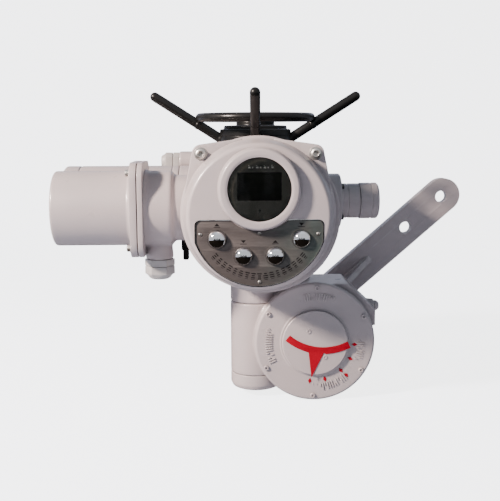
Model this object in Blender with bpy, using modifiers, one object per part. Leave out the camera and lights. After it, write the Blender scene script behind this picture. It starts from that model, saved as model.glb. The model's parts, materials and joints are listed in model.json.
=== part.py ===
"""Motorized quarter-turn valve actuator.

A multi-turn actuator (motor, primary worm pair, handwheel, local controls) stands on a
vertical worm gearbox. The gearbox's output shaft carries a lever arm at the back and a
position pointer at the front.

Frame: metres, +Z up, the control face looks along -Y. The origin is the centre of the
output shaft's rear end. Every sub-part hangs on the empty drive_axis, which stands on the
vertical drive axis at the height of the output shaft, and its numbers are measured from it.
"""

import math

import bmesh
import bpy
from mathutils import Matrix, Vector

# ---- driving dimensions ------------------------------------------------------------------
GAP = 0.0003
LARGE = 32
ROUND = 24
SMALL = 14
TINY = 8

# quarter-turn gearbox
WHEEL_TEETH = 40
WHEEL_MODULE = 0.0035
WHEEL_RADIUS = WHEEL_TEETH * WHEEL_MODULE / 2
WORM_RADIUS = 0.0176
OUTPUT_X = WHEEL_RADIUS + WORM_RADIUS
SHAFT_RADIUS = 0.021
SHAFT_BACK = 0.148
CASE_RADIUS = 0.0915
CASE_BACK = 0.047
CASE_FRONT = -0.041
GEAR_COVER_FRONT = -0.055
COLUMN_RADIUS = 0.0395
COLUMN_TOP = 0.056
COLUMN_BOTTOM = -0.057
SIDE_STOP = (-0.004, 0.0455)
TOP_STOP = (0.075, 0.015)

# primary worm pair and motor
DRIVE_TEETH = 30
DRIVE_MODULE = 0.003
DRIVE_RADIUS = DRIVE_TEETH * DRIVE_MODULE / 2
DRIVE_WORM_RADIUS = 0.017
WORM_Y = DRIVE_RADIUS + DRIVE_WORM_RADIUS
WORM_Z = 0.205
SLEEVE_RADIUS = 0.016
MOTOR_RADIUS = 0.058
MOTOR_FACE = -0.119
MOTOR_END = -0.307

# control cover
SCREW_SEAT = 0.086
COVER_Z = 0.202
COVER_RADIUS = 0.110
EAR_RADIUS = 0.0125
LOWER_SCREW = 0.0714
COVER_BACK = -0.105
COVER_FACE = -0.150
CHAMBER_RADIUS = 0.092
WINDOW_Z = 0.240
WINDOW_RADIUS = 0.0438
BEZEL_FRONT = -0.162
EAR_FRONT = 0.1165
EAR_X = 0.080
EAR_Z = 0.085
PLATE_TOP = 0.197
PLATE_HALF_WIDTH = 0.0875
PLATE_ARC_Z = 0.199
PLATE_ARC_RADIUS = 0.093
BUTTON_PLACES = ((-0.058, 0.171), (-0.022, 0.1475), (0.022, 0.1475), (0.058, 0.171))
BUTTON_RADIUS = 0.013
PLATE_SCREW_PLACES = ((-0.081, 0.178), (0.081, 0.178), (0.0, 0.179), (0.0, 0.1115))

# housing drum behind the control cover, its top milled flat
DRUM_X = 0.008
DRUM_Z = 0.196
DRUM_RADIUS = 0.111
DRUM_FRONT = 0.094
DRUM_BACK = 0.041
DRUM_TOP = 0.300

# terminal compartment
TERMINAL_Y = -0.060
TERMINAL_Z = 0.207
TERMINAL_RADIUS = 0.0544
TERMINAL_JOINT = -0.1695
TERMINAL_END = -0.294
FLANGE_THICKNESS = 0.007
FLANGE_WIDTH = 0.120
FLANGE_HEIGHT = 0.135
FLANGE_CORNER = 0.025
FLANGE_BOLT_Y = 0.046
FLANGE_BOLT_Z = 0.053

# cable glands
POWER_GLAND_X = -0.144
SIGNAL_GLAND_Y = 0.108
SIGNAL_GLAND_Z = 0.268

# spring pack on the right end of the primary worm
SPRING_JOINT = 0.104
SPRING_CAP_JOINT = 0.169
SPRING_END = 0.200

# handwheel
HOUSING_TOP = 0.290
HUB_BOTTOM = 0.297
HUB_TOP = 0.334
HUB_RADIUS = 0.054
BAR_RADIUS = 0.0063
BAR_START = (0.046, 0.302)
BAR_TIP = (0.158, 0.373)
BAR_TURN = math.radians(-2.0)
RIM_RADIUS = 0.084
RIM_TUBE = 0.0055
RIM_Z = 0.338

# lever arm
ARM_ANGLE = math.radians(41.2)
ARM_FRONT = 0.128
ARM_WIDTH = 0.057
ARM_END = 0.315
ARM_HOLES = (0.231, 0.311)
ARM_HOLE_RADIUS = 0.010
ARM_HUB_FRONT = 0.062
ARM_HUB_RADIUS = 0.036
ARM_RIB = 0.010

# declutch lever
LEVER_PIVOT = (-0.100, -0.030, 0.149)

UP = (0.0, 0.0, 0.0)
FRONT = (math.pi / 2, 0.0, 0.0)
BACK = (-math.pi / 2, 0.0, 0.0)
RIGHT = (0.0, math.pi / 2, 0.0)
LEFT = (0.0, -math.pi / 2, 0.0)
DOWN = (math.pi, 0.0, 0.0)


# ---- scene and materials -----------------------------------------------------------------
def clear_scene():
    for obj in list(bpy.data.objects):
        bpy.data.objects.remove(obj, do_unlink=True)


def new_collection(name):
    collection = bpy.data.collections.new(name)
    bpy.context.scene.collection.children.link(collection)
    return collection


def new_material(name, colour, roughness, metallic):
    material = bpy.data.materials.new(name)
    material.use_nodes = True
    shader = material.node_tree.nodes["Principled BSDF"]
    shader.inputs["Base Color"].default_value = (*colour, 1.0)
    shader.inputs["Roughness"].default_value = roughness
    shader.inputs["Metallic"].default_value = metallic
    material.diffuse_color = (*colour, 1.0)
    return material


clear_scene()
PARTS = new_collection("valve_actuator")
CUTTERS = new_collection("cutters")
PAINT = new_material("grey_enamel", (0.68, 0.66, 0.64), 0.35, 0.0)
BLACK_PAINT = new_material("black_enamel", (0.02, 0.02, 0.022), 0.30, 0.0)
CHROME = new_material("chrome", (0.80, 0.80, 0.80), 0.08, 1.0)
BRUSHED = new_material("brushed_steel", (0.62, 0.62, 0.60), 0.35, 1.0)
STEEL = new_material("turned_steel", (0.45, 0.45, 0.46), 0.35, 1.0)
BRONZE = new_material("bronze", (0.55, 0.35, 0.14), 0.40, 1.0)
ZINC = new_material("zinc_screws", (0.60, 0.58, 0.54), 0.40, 1.0)
RUBBER = new_material("rubber", (0.03, 0.03, 0.03), 0.80, 0.0)
GLASS = new_material("dark_glass", (0.02, 0.03, 0.03), 0.05, 0.0)
BOARD = new_material("circuit_board", (0.02, 0.16, 0.07), 0.50, 0.0)
NYLON = new_material("grey_nylon", (0.60, 0.60, 0.58), 0.45, 0.0)
INSULATOR = new_material("insulator", (0.10, 0.10, 0.11), 0.50, 0.0)
COPPER = new_material("stator", (0.40, 0.18, 0.08), 0.45, 0.8)


def drive_axis_empty():
    empty = bpy.data.objects.new("drive_axis", None)
    empty.location = (-OUTPUT_X, -SHAFT_BACK, 0.0)
    PARTS.objects.link(empty)
    return empty


DRIVE_AXIS = drive_axis_empty()


# ---- shape tools -------------------------------------------------------------------------
def place(obj, location, facing):
    obj.location = location
    obj.rotation_euler = facing
    obj.parent = DRIVE_AXIS
    PARTS.objects.link(obj)
    return obj


def paint(obj, material):
    obj.data.materials.clear()
    obj.data.materials.append(material)
    return obj


def from_bmesh(name, bm):
    mesh = bpy.data.meshes.new(name)
    bm.to_mesh(mesh)
    bm.free()
    if mesh.polygons:
        mesh.shade_smooth()
        mesh.set_sharp_from_angle(angle=math.radians(35))
    return bpy.data.objects.new(name, mesh)


def turned(name, profile, location, facing=UP, steps=ROUND, ring=False):
    """Turn (radius, height) points about the local Z axis; they run down the outer side."""
    bm = bmesh.new()
    verts = [bm.verts.new((radius, 0.0, height)) for radius, height in profile]
    for start, end in zip(verts, verts[1:]):
        bm.edges.new((start, end))
    if ring:
        bm.edges.new((verts[-1], verts[0]))
    obj = place(from_bmesh(name, bm), location, facing)
    screw = obj.modifiers.new("Turn", "SCREW")
    screw.steps = steps
    screw.render_steps = steps
    screw.use_merge_vertices = True
    screw.merge_threshold = 1e-6
    return obj


def cylinder(name, radius, start, end, location, facing=UP, steps=SMALL):
    """A cylinder whose corners sit half a step off those of a turned shape."""
    bm = bmesh.new()
    bmesh.ops.create_cone(
        bm, cap_ends=True, segments=steps, radius1=radius, radius2=radius, depth=end - start
    )
    bmesh.ops.translate(bm, verts=bm.verts, vec=(0.0, 0.0, (start + end) / 2))
    half_step = Matrix.Rotation(math.pi / steps, 4, "Z")
    bmesh.ops.transform(bm, matrix=half_step, verts=bm.verts)
    return place(from_bmesh(name, bm), location, facing)


def box(name, low, high, location=(0.0, 0.0, 0.0), facing=UP):
    low, high = Vector(low), Vector(high)
    bm = bmesh.new()
    bmesh.ops.create_cube(bm, size=1.0)
    bmesh.ops.scale(bm, verts=bm.verts, vec=high - low)
    bmesh.ops.translate(bm, verts=bm.verts, vec=(low + high) / 2)
    return place(from_bmesh(name, bm), location, facing)


def bevel(obj, width, segments=2):
    modifier = obj.modifiers.new("Bevel", "BEVEL")
    modifier.width = width
    modifier.segments = segments
    modifier.limit_method = "ANGLE"
    modifier.angle_limit = math.radians(60)
    return obj


def solid_mesh(obj, merge):
    """The evaluated mesh of a curve or a screw, welded, with any open end capped."""
    bpy.context.view_layer.update()
    evaluated = obj.evaluated_get(bpy.context.evaluated_depsgraph_get())
    mesh = bpy.data.meshes.new_from_object(evaluated)
    bm = bmesh.new()
    bm.from_mesh(mesh)
    bmesh.ops.remove_doubles(bm, verts=bm.verts, dist=merge)
    bmesh.ops.holes_fill(bm, edges=bm.edges, sides=4)
    bmesh.ops.recalc_face_normals(bm, faces=bm.faces)
    bm.to_mesh(mesh)
    bm.free()
    return mesh


def flat(name, outlines, thickness, location, facing=UP):
    """Extrude an outline, with any holes after it, from local z = 0 to the thickness."""
    curve = bpy.data.curves.new(name, "CURVE")
    curve.dimensions = "2D"
    curve.fill_mode = "BOTH"
    curve.extrude = thickness / 2
    for outline in outlines:
        spline = curve.splines.new("POLY")
        spline.points.add(len(outline) - 1)
        for point, (x, y) in zip(spline.points, outline):
            point.co = (x, y, 0.0, 1.0)
        spline.use_cyclic_u = True
    outline_object = place(bpy.data.objects.new(name + "_outline", curve), location, facing)
    mesh = solid_mesh(outline_object, 1e-6)
    bpy.data.objects.remove(outline_object, do_unlink=True)
    for vertex in mesh.vertices:
        vertex.co.z += thickness / 2
    mesh.shade_smooth()
    mesh.set_sharp_from_angle(angle=math.radians(35))
    return place(bpy.data.objects.new(name, mesh), location, facing)


def combine(target, tool, operation):
    """Join a tool to a target, or cut it away; the tool becomes a hidden guide."""
    modifier = target.modifiers.new(tool.name, "BOOLEAN")
    modifier.object = tool
    modifier.operation = operation
    modifier.solver = "EXACT"
    if tool.name not in CUTTERS.objects:
        PARTS.objects.unlink(tool)
        CUTTERS.objects.link(tool)
        tool.hide_render = True
        tool.display_type = "WIRE"


def join(target, *tools):
    for tool in tools:
        combine(target, tool, "UNION")


def cut(target, *tools):
    for tool in tools:
        combine(target, tool, "DIFFERENCE")


def arc(radius, start, end, steps, centre=(0.0, 0.0)):
    """Points on an arc, angles in radians, both ends included."""
    span = [start + (end - start) * i / steps for i in range(steps + 1)]
    return [(centre[0] + radius * math.cos(a), centre[1] + radius * math.sin(a)) for a in span]


def circle(radius, steps, centre=(0.0, 0.0)):
    return arc(radius, 0.0, 2 * math.pi, steps, centre)[:-1]


def washer(name, inner, outer, start, end, location, facing=UP, steps=ROUND):
    profile = [(inner, end), (outer, end), (outer, start), (inner, start)]
    return turned(name, profile, location, facing, steps, ring=True)


# ---- gears and worms ---------------------------------------------------------------------
def gear_outline(teeth, module, first_gap):
    """Trapezoid teeth, thinned by a third of a module for running clearance."""
    pitch_radius = teeth * module / 2
    tip, root = pitch_radius + module, pitch_radius - 1.2 * module
    half = 0.57 * module
    flank = math.tan(math.radians(20)) * module
    points = []
    for tooth in range(teeth):
        middle = first_gap + 2 * math.pi * (tooth + 0.5) / teeth
        for radius, width in (
            (root, half + 1.2 * flank),
            (tip, half - flank),
            (tip, flank - half),
            (root, -half - 1.2 * flank),
        ):
            angle = middle - width / radius
            points.append((radius * math.cos(angle), radius * math.sin(angle)))
    return points


def worm(name, module, pitch_radius, turns, contact, shaft, location, facing):
    """A right-hand worm on a stepped shaft, its thread central where it meets the wheel."""
    lead = math.pi * module
    root, crest = pitch_radius - 1.25 * module, pitch_radius + module
    half = 0.57 * module
    flank = math.tan(math.radians(20)) * module
    share = contact / (2 * math.pi)
    first = -lead * (math.floor(turns / 2 - share + 0.5) + share)
    body = turned(name, shaft, location, facing, SMALL)
    sunk = root - 0.001
    corners = [
        (sunk, half + 1.5 * flank),
        (crest, half - flank),
        (crest, flank - half),
        (sunk, -half - 1.5 * flank),
    ]
    bm = bmesh.new()
    verts = [bm.verts.new((radius, 0.0, first + height)) for radius, height in corners]
    for i, vert in enumerate(verts):
        bm.edges.new((vert, verts[(i + 1) % len(verts)]))
    sweep = place(from_bmesh(name + "_sweep", bm), location, facing)
    screw = sweep.modifiers.new("Thread", "SCREW")
    screw.screw_offset = lead
    screw.iterations = turns
    screw.steps = 12
    screw.render_steps = 12
    thread = place(
        bpy.data.objects.new(name + "_thread", solid_mesh(sweep, 1e-6)), location, facing
    )
    bpy.data.objects.remove(sweep, do_unlink=True)
    join(body, thread)
    return body


# ---- fasteners ---------------------------------------------------------------------------
def socket_screw(name, shank, head, head_height, length, location, facing):
    """A socket head cap screw; its head's seat is at local z = 0 and it points down."""
    profile = [
        (0.0, head_height * 0.45),
        (head * 0.5, head_height),
        (head, head_height),
        (head, 0.0),
        (shank, 0.0),
        (shank, -length),
        (0.0, -length),
    ]
    return paint(turned(name, profile, location, facing, TINY), ZINC)


def hex_bolt(name, shank, head, head_height, length, location, facing):
    bolt = cylinder(name, head, 0.0, head_height, location, facing, steps=6)
    join(bolt, cylinder(name + "_shank", shank, -length, head_height / 2, location, facing, TINY))
    return paint(bolt, ZINC)


# ---- main housing ------------------------------------------------------------------------
def flange_outline():
    """A rounded rectangle, corner arcs counter-clockwise."""
    points = []
    inset_h = FLANGE_HEIGHT / 2 - FLANGE_CORNER
    inset_w = FLANGE_WIDTH / 2 - FLANGE_CORNER
    for i, (u, v) in enumerate(((1, 1), (-1, 1), (-1, -1), (1, -1))):
        start = i * math.pi / 2
        centre = (u * inset_h, v * inset_w)
        points += arc(FLANGE_CORNER, start, start + math.pi / 2, 4, centre)
    return points


def ear_outline(side):
    """The lobe of an upper cover screw, tangent to the round flange, about the cover's centre."""
    reach = math.hypot(EAR_X, EAR_Z)
    middle = math.atan2(EAR_Z, EAR_X)
    spread = math.acos((COVER_RADIUS - EAR_RADIUS) / reach) - 0.03
    lobe = arc(EAR_RADIUS, middle - spread, middle + spread, 8, (EAR_X, EAR_Z))
    base = COVER_RADIUS - 0.002
    upper = (base * math.cos(middle + spread), base * math.sin(middle + spread))
    lower = (base * math.cos(middle - spread), base * math.sin(middle - spread))
    points = [lower, *lobe, upper, (0.5 * EAR_X, 0.5 * EAR_Z)]
    return [(side * x, z) for x, z in points][::side]


def main_housing():
    neck_x = TERMINAL_JOINT + FLANGE_THICKNESS
    tower = [
        (0.0, HOUSING_TOP),
        (0.058, HOUSING_TOP),
        (0.058, 0.104),
        (0.050, 0.092),
        (COLUMN_RADIUS, 0.086),
        (COLUMN_RADIUS, COLUMN_TOP + GAP),
        (0.0, COLUMN_TOP + GAP),
    ]
    housing = turned("main_housing", tower, (0, 0, 0))
    front = COVER_BACK + 0.002
    flange = COVER_RADIUS - 0.0005
    ring = [(0.0, -front), (flange, -front), (flange, -front - 0.010), (0.0, -front - 0.010)]
    join(housing, turned("housing_ring", ring, (0, 0, COVER_Z), FRONT, LARGE))
    drum = [
        (0.0, DRUM_FRONT),
        (DRUM_RADIUS, DRUM_FRONT),
        (DRUM_RADIUS, DRUM_BACK + 0.006),
        (DRUM_RADIUS - 0.006, DRUM_BACK),
        (0.100, DRUM_BACK),
        (0.088, 0.018),
        (0.0, 0.018),
    ]
    drum_body = turned("housing_drum", drum, (DRUM_X, 0, DRUM_Z), FRONT, 40)
    over = box("drum_top", (-0.130, -0.120, DRUM_TOP), (0.130, 0.010, DRUM_TOP + 0.060))
    cut(drum_body, over)
    join(housing, drum_body)
    cross = [
        (0.0, SPRING_JOINT),
        (0.047, SPRING_JOINT),
        (0.047, -0.098),
        (MOTOR_RADIUS, -0.103),
        (MOTOR_RADIUS, MOTOR_FACE),
        (0.0, MOTOR_FACE),
    ]
    join(housing, turned("housing_cross_tube", cross, (0, WORM_Y, WORM_Z), RIGHT))
    neck = [
        (0.0, -neck_x + 0.004),
        (TERMINAL_RADIUS, -neck_x + 0.004),
        (TERMINAL_RADIUS, 0.055),
        (0.0, 0.055),
    ]
    join(housing, turned("housing_neck", neck, (0, TERMINAL_Y, TERMINAL_Z), LEFT))
    join(
        housing,
        flat(
            "housing_flange",
            [flange_outline()],
            neck_x - TERMINAL_JOINT,
            (neck_x, TERMINAL_Y, TERMINAL_Z),
            LEFT,
        ),
    )
    back_block = bevel(
        box("housing_back_block", (-0.100, -0.02, 0.165), (0.072, 0.118, HOUSING_TOP - 0.004)),
        0.014,
        3,
    )
    join(housing, back_block)
    for side in (-1, 1):
        seat = (0, -SCREW_SEAT, COVER_Z)
        ear = flat(f"housing_ear{side}", [ear_outline(side)], -front - SCREW_SEAT, seat, FRONT)
        join(housing, ear)
    power = (POWER_GLAND_X, TERMINAL_Y, 0)
    signal = (0, SIGNAL_GLAND_Y, SIGNAL_GLAND_Z)
    join(housing, cylinder("power_boss", 0.0175, 0.132, 0.175, power))
    join(housing, cylinder("signal_boss", 0.0165, 0.080, 0.122, signal, LEFT))
    pivot = (0, LEVER_PIVOT[1], LEVER_PIVOT[2])
    lever_seat = -LEVER_PIVOT[0]
    join(housing, cylinder("lever_boss", 0.0105, 0.060, lever_seat, pivot, LEFT))
    cut(
        housing,
        cylinder("cover_clearance", COVER_RADIUS + 0.0015, 0.1032, 0.170, (0, 0, COVER_Z), FRONT, 40),
        cylinder("front_chamber", CHAMBER_RADIUS, 0.062, 0.130, (0, 0, COVER_Z), FRONT, LARGE),
        cylinder("hub_clearance", 0.064, HOUSING_TOP + 0.0002, 0.330, (0, 0, 0), UP, ROUND),
        cylinder("gear_chamber", 0.050, 0.178, 0.300, (0, 0, 0), UP, 24),
        cylinder("sleeve_bore", 0.019, 0.040, 0.200, (0, 0, 0)),
        cylinder("lower_bearing_seat", 0.030, 0.040, 0.0715, (0, 0, 0), UP, 20),
        cylinder("worm_bore", 0.024, -0.140, 0.120, (0, WORM_Y, WORM_Z), RIGHT, 16),
        cylinder("motor_seat", 0.050, 0.108, 0.140, (0, WORM_Y, WORM_Z), LEFT, 24),
        cylinder("neck_bore", 0.046, 0.066, 0.200, (0, TERMINAL_Y, TERMINAL_Z), LEFT, 24),
        cylinder("power_bore", 0.0142, 0.120, 0.200, power),
        cylinder("signal_bore", 0.0113, 0.050, 0.140, signal, LEFT),
        box("signal_chamber", (-0.090, 0.070, 0.235), (-0.055, 0.110, 0.280)),
        cylinder("lever_bore", 0.0058, lever_seat - 0.018, lever_seat + 0.010, pivot, LEFT, TINY),
    )
    for side in (-1, 1):
        upper = (side * EAR_X, 0, COVER_Z + EAR_Z)
        lower = (side * LOWER_SCREW, 0, COVER_Z - LOWER_SCREW)
        cut(housing, cylinder(f"upper_hole{side}", 0.0047, 0.092, 0.120, upper, FRONT, TINY))
        cut(housing, cylinder(f"lower_hole{side}", 0.0047, 0.080, 0.120, lower, FRONT, TINY))
        cut(housing, cylinder(f"lower_pocket{side}", 0.0092, 0.010, SCREW_SEAT, lower, FRONT))
    for tag, y, z in flange_bolt_places():
        hole = cylinder("flange_hole" + tag, 0.0036, 0.155, 0.195, (0, y, z), LEFT, TINY)
        cut(housing, hole)
    return paint(housing, PAINT)


def flange_bolt_places():
    for i, (u, v) in enumerate(((-1, -1), (-1, 1), (1, -1), (1, 1))):
        yield str(i + 1), TERMINAL_Y + u * FLANGE_BOLT_Y, TERMINAL_Z + v * FLANGE_BOLT_Z


def top_bearing_cover():
    bottom = HOUSING_TOP + GAP
    profile = [(0.0195, 0.295), (0.054, 0.295), (0.056, 0.2935), (0.056, bottom), (0.0195, bottom)]
    return paint(turned("top_bearing_cover", profile, (0, 0, 0), ring=True), PAINT)


def bearings():
    paint(washer("upper_bearing", SLEEVE_RADIUS + GAP, 0.0493, 0.270, 0.284, (0, 0, 0), steps=20), STEEL)
    paint(washer("lower_bearing", SLEEVE_RADIUS + GAP, 0.0293, 0.0575, 0.071, (0, 0, 0), steps=20), STEEL)


# ---- control cover and controls ----------------------------------------------------------
def plate_outline(margin):
    """The control plate's edge about the cover's centre, grown by a margin."""
    half = PLATE_HALF_WIDTH + margin
    top = PLATE_TOP - COVER_Z + margin
    corner = 0.008
    radius = PLATE_ARC_RADIUS + margin
    rise = PLATE_ARC_Z - COVER_Z
    low = math.asin(-math.sqrt(radius**2 - half**2) / radius)
    lower_arc = arc(radius, low, -math.pi - low, 16, (0.0, rise))
    corners = arc(corner, math.pi, math.pi / 2, 2, (corner - half, top - corner))
    corners += arc(corner, math.pi / 2, 0.0, 2, (half - corner, top - corner))
    return lower_arc + corners


def bezel_notch(name, radius, start, end):
    return cylinder(name, radius, start, end, (0, 0, WINDOW_Z), FRONT, LARGE)


def control_cover():
    face, back = -COVER_FACE, -COVER_BACK + GAP
    profile = [
        (0.0, face),
        (0.096, face),
        (0.0993, face - 0.0015),
        (0.1010, face - 0.005),
        (0.1060, face - 0.030),
        (0.1070, face - 0.034),
        (0.1095, face - 0.0355),
        (COVER_RADIUS, face - 0.037),
        (COVER_RADIUS, back),
        (0.0, back),
    ]
    centre = (0, 0, COVER_Z)
    cover = turned("control_cover", profile, centre, FRONT, 40)
    bezel = [
        (0.0, -BEZEL_FRONT),
        (0.0535, -BEZEL_FRONT),
        (0.0555, -BEZEL_FRONT - 0.001),
        (0.0575, face - 0.004),
        (0.0, face - 0.004),
    ]
    join(cover, turned("cover_bezel", bezel, (0, 0, WINDOW_Z), FRONT, LARGE))
    for side in (-1, 1):
        ear = flat(f"cover_ear{side}", [ear_outline(side)], EAR_FRONT - back, (0, -back, COVER_Z), FRONT)
        join(cover, ear)
    recess = flat("plate_recess", [plate_outline(0.0004)], 0.010, (0, COVER_FACE + 0.0025, COVER_Z), FRONT)
    cut(recess, bezel_notch("bezel_keep", 0.0578, 0.130, 0.170))
    cut(
        cover,
        cylinder("cover_inside", CHAMBER_RADIUS, 0.090, 0.142, centre, FRONT, LARGE),
        recess,
        cylinder("window_seat", WINDOW_RADIUS, 0.1525, 0.170, (0, 0, WINDOW_Z), FRONT, LARGE),
        cylinder("window_hole", 0.036, 0.130, 0.160, (0, 0, WINDOW_Z), FRONT, 24),
    )
    for i, (x, z) in enumerate(BUTTON_PLACES):
        cut(cover, cylinder(f"button_hole{i}", BUTTON_RADIUS + 0.0005, 0.130, 0.160, (x, 0, z), FRONT, SMALL))
    for i, (x, z) in enumerate(PLATE_SCREW_PLACES):
        cut(cover, cylinder(f"plate_screw_hole{i}", 0.0018, 0.143, 0.160, (x, 0, z), FRONT, 6))
    for side in (-1, 1):
        upper = (side * EAR_X, 0, COVER_Z + EAR_Z)
        lower = (side * LOWER_SCREW, 0, COVER_Z - LOWER_SCREW)
        cut(cover, cylinder(f"upper_screw_hole{side}", 0.0047, 0.090, 0.130, upper, FRONT, TINY))
        cut(cover, cylinder(f"lower_screw_hole{side}", 0.0047, 0.090, 0.1135, lower, FRONT, TINY))
    return paint(cover, PAINT)


def cover_parts():
    centre = (0, 0, COVER_Z)
    front = -COVER_BACK
    paint(washer("cover_gasket", 0.0925, 0.0960, front - 0.0017, front, centre, FRONT, LARGE), RUBBER)
    glass = [(0.0, 0.161), (0.0428, 0.161), (0.0434, 0.1604), (0.0434, 0.1575), (0.0, 0.1575)]
    paint(turned("window_glass", glass, (0, 0, WINDOW_Z), FRONT, LARGE), GLASS)
    paint(cylinder("display_module", 0.0434, 0.1528, 0.1572, (0, 0, WINDOW_Z), FRONT, LARGE), INSULATOR)
    mat_radius, mat_top = 0.086, -0.016
    side = math.asin(mat_top / mat_radius)
    mat = [arc(mat_radius, side, -math.pi - side, 16)]
    paint(flat("keypad_mat", mat, 0.003, (0, -0.125, COVER_Z), FRONT), RUBBER)
    board = bevel(box("control_board", (-0.064, -0.121, 0.146), (0.064, -0.119, 0.258)), 0.0005, 1)
    paint(board, BOARD)


def control_plate():
    plate = flat("control_plate", [plate_outline(0.0)], 0.0015, (0, COVER_FACE + 0.0022, COVER_Z), FRONT)
    cut(plate, bezel_notch("bezel_clear", 0.0583, 0.130, 0.170))
    for i, (x, z) in enumerate(BUTTON_PLACES):
        cut(plate, cylinder(f"plate_hole{i}", BUTTON_RADIUS + 0.0005, 0.130, 0.160, (x, 0, z), FRONT, SMALL))
    for i, (x, z) in enumerate(PLATE_SCREW_PLACES):
        cut(plate, cylinder(f"plate_pin_hole{i}", 0.0018, 0.140, 0.160, (x, 0, z), FRONT, 6))
    return paint(plate, BRUSHED)


def plate_screws():
    for i, (x, z) in enumerate(PLATE_SCREW_PLACES):
        head_seat = -COVER_FACE - 0.0022 + 0.0015 + GAP
        profile = [(0.0, 0.0012), (0.0027, 0.0), (0.0014, 0.0), (0.0014, -0.006), (0.0, -0.006)]
        screw = turned(f"plate_screw_{i + 1}", profile, (x, -head_seat, z), FRONT, 8)
        paint(screw, ZINC)


def push_buttons():
    for i, (x, z) in enumerate(BUTTON_PLACES):
        dome = [(0.0, 0.159), (0.0060, 0.1579), (0.0105, 0.1548)]
        stem = [
            (BUTTON_RADIUS, 0.1495),
            (BUTTON_RADIUS, 0.1417),
            (0.0150, 0.1417),
            (0.0150, 0.1395),
            (0.0050, 0.1395),
            (0.0050, 0.1318),
            (0.0, 0.1318),
        ]
        seat = Vector((x, COVER_FACE, z))
        profile = [(radius, height + COVER_FACE) for radius, height in dome + stem]
        paint(turned(f"push_button_{i + 1}", profile, seat, FRONT, SMALL), CHROME)


def cover_screws():
    number = 0
    for side in (-1, 1):
        number += 1
        upper = (side * EAR_X, -EAR_FRONT - GAP, COVER_Z + EAR_Z)
        socket_screw(f"cover_screw_{number}", 0.004, 0.0068, 0.008, 0.022, upper, FRONT)
    for side in (-1, 1):
        number += 1
        lower = (side * LOWER_SCREW, -SCREW_SEAT + GAP, COVER_Z - LOWER_SCREW)
        socket_screw(f"cover_screw_{number}", 0.004, 0.0068, 0.008, 0.024, lower, BACK)


# ---- terminal compartment and glands -----------------------------------------------------
def terminal_compartment():
    axis = (0, TERMINAL_Y, TERMINAL_Z)
    joint = -TERMINAL_JOINT + 0.0015
    end = -TERMINAL_END
    radius = TERMINAL_RADIUS
    can = [(0.0, end), (radius - 0.010, end)]
    can += [(r, h) for r, h in arc(0.010, math.pi / 2, 0.0, 3, (radius - 0.010, end - 0.010))[1:]]
    can += [(radius, joint), (0.0, joint)]
    cover = turned("terminal_cover", can, axis, LEFT, LARGE)
    flange = flat("terminal_flange", [flange_outline()], 0.0095, (-joint, TERMINAL_Y, TERMINAL_Z), LEFT)
    join(cover, flange)
    cut(cover, cylinder("terminal_inside", 0.046, joint - 0.02, end - 0.006, axis, LEFT, 24))
    for tag, y, z in flange_bolt_places():
        cut(cover, cylinder("terminal_hole" + tag, 0.0036, joint - 0.01, joint + 0.02, (0, y, z), LEFT, TINY))
        head = (-joint - 0.0095 - GAP, y, z)
        socket_screw("terminal_bolt_" + tag, 0.003, 0.005, 0.006, 0.018, head, LEFT)
    paint(cover, PAINT)
    paint(washer("terminal_gasket", 0.0470, 0.0535, joint - 0.0012, joint - GAP, axis, LEFT, 24), RUBBER)
    block = cylinder("terminal_block", 0.0440, 0.140, 0.158, axis, LEFT, 24)
    rail_low = (-0.171, TERMINAL_Y - 0.030, TERMINAL_Z - 0.008)
    rail_high = (-0.150, TERMINAL_Y + 0.030, TERMINAL_Z + 0.008)
    rail = box("terminal_rail", rail_low, rail_high)
    join(block, rail)
    paint(block, INSULATOR)


def cable_gland(prefix, size, location, facing):
    """Body and compression nut; local z points out of the housing and starts at its seat."""
    bore = size * 0.55
    body = cylinder(prefix + "_gland_body", size * 1.12, GAP, 0.010, location, facing, 6)
    join(body, cylinder(prefix + "_gland_thread", size * 0.80, -0.012, 0.024, location, facing))
    cut(body, cylinder(prefix + "_gland_bore", bore, -0.030, 0.050, location, facing))
    paint(body, NYLON)
    inner = size * 0.80 + 0.0003
    nut = [
        (bore, 0.0300),
        (size * 0.78, 0.0300),
        (size * 1.02, 0.0275),
        (size * 1.14, 0.0215),
        (size * 1.14, 0.0103),
        (inner, 0.0103),
        (inner, 0.0245),
        (bore, 0.0245),
    ]
    paint(turned(prefix + "_gland_nut", nut, location, facing, SMALL, ring=True), NYLON)


# ---- motor and primary worm --------------------------------------------------------------
def motor():
    axis = (0, WORM_Y, WORM_Z)
    face, end = -MOTOR_FACE + GAP, -MOTOR_END
    corner = arc(0.009, math.pi / 2, 0.0, 2, (MOTOR_RADIUS - 0.009, end - 0.009))
    can = [(0.0, end)] + corner + [
        (MOTOR_RADIUS, face),
        (0.052, face),
        (0.052, end - 0.007),
        (0.0, end - 0.007),
    ]
    paint(turned("motor_housing", can, axis, LEFT, LARGE), PAINT)
    paint(washer("motor_stator", 0.033, 0.0517, 0.165, 0.260, axis, LEFT, 20), COPPER)
    rotor = [
        (0.0, 0.296),
        (0.008, 0.296),
        (0.008, 0.256),
        (0.0315, 0.256),
        (0.0315, 0.169),
        (0.008, 0.169),
        (0.008, 0.1125),
        (0.0, 0.1125),
    ]
    paint(turned("motor_rotor", rotor, axis, LEFT, SMALL), STEEL)


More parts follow.
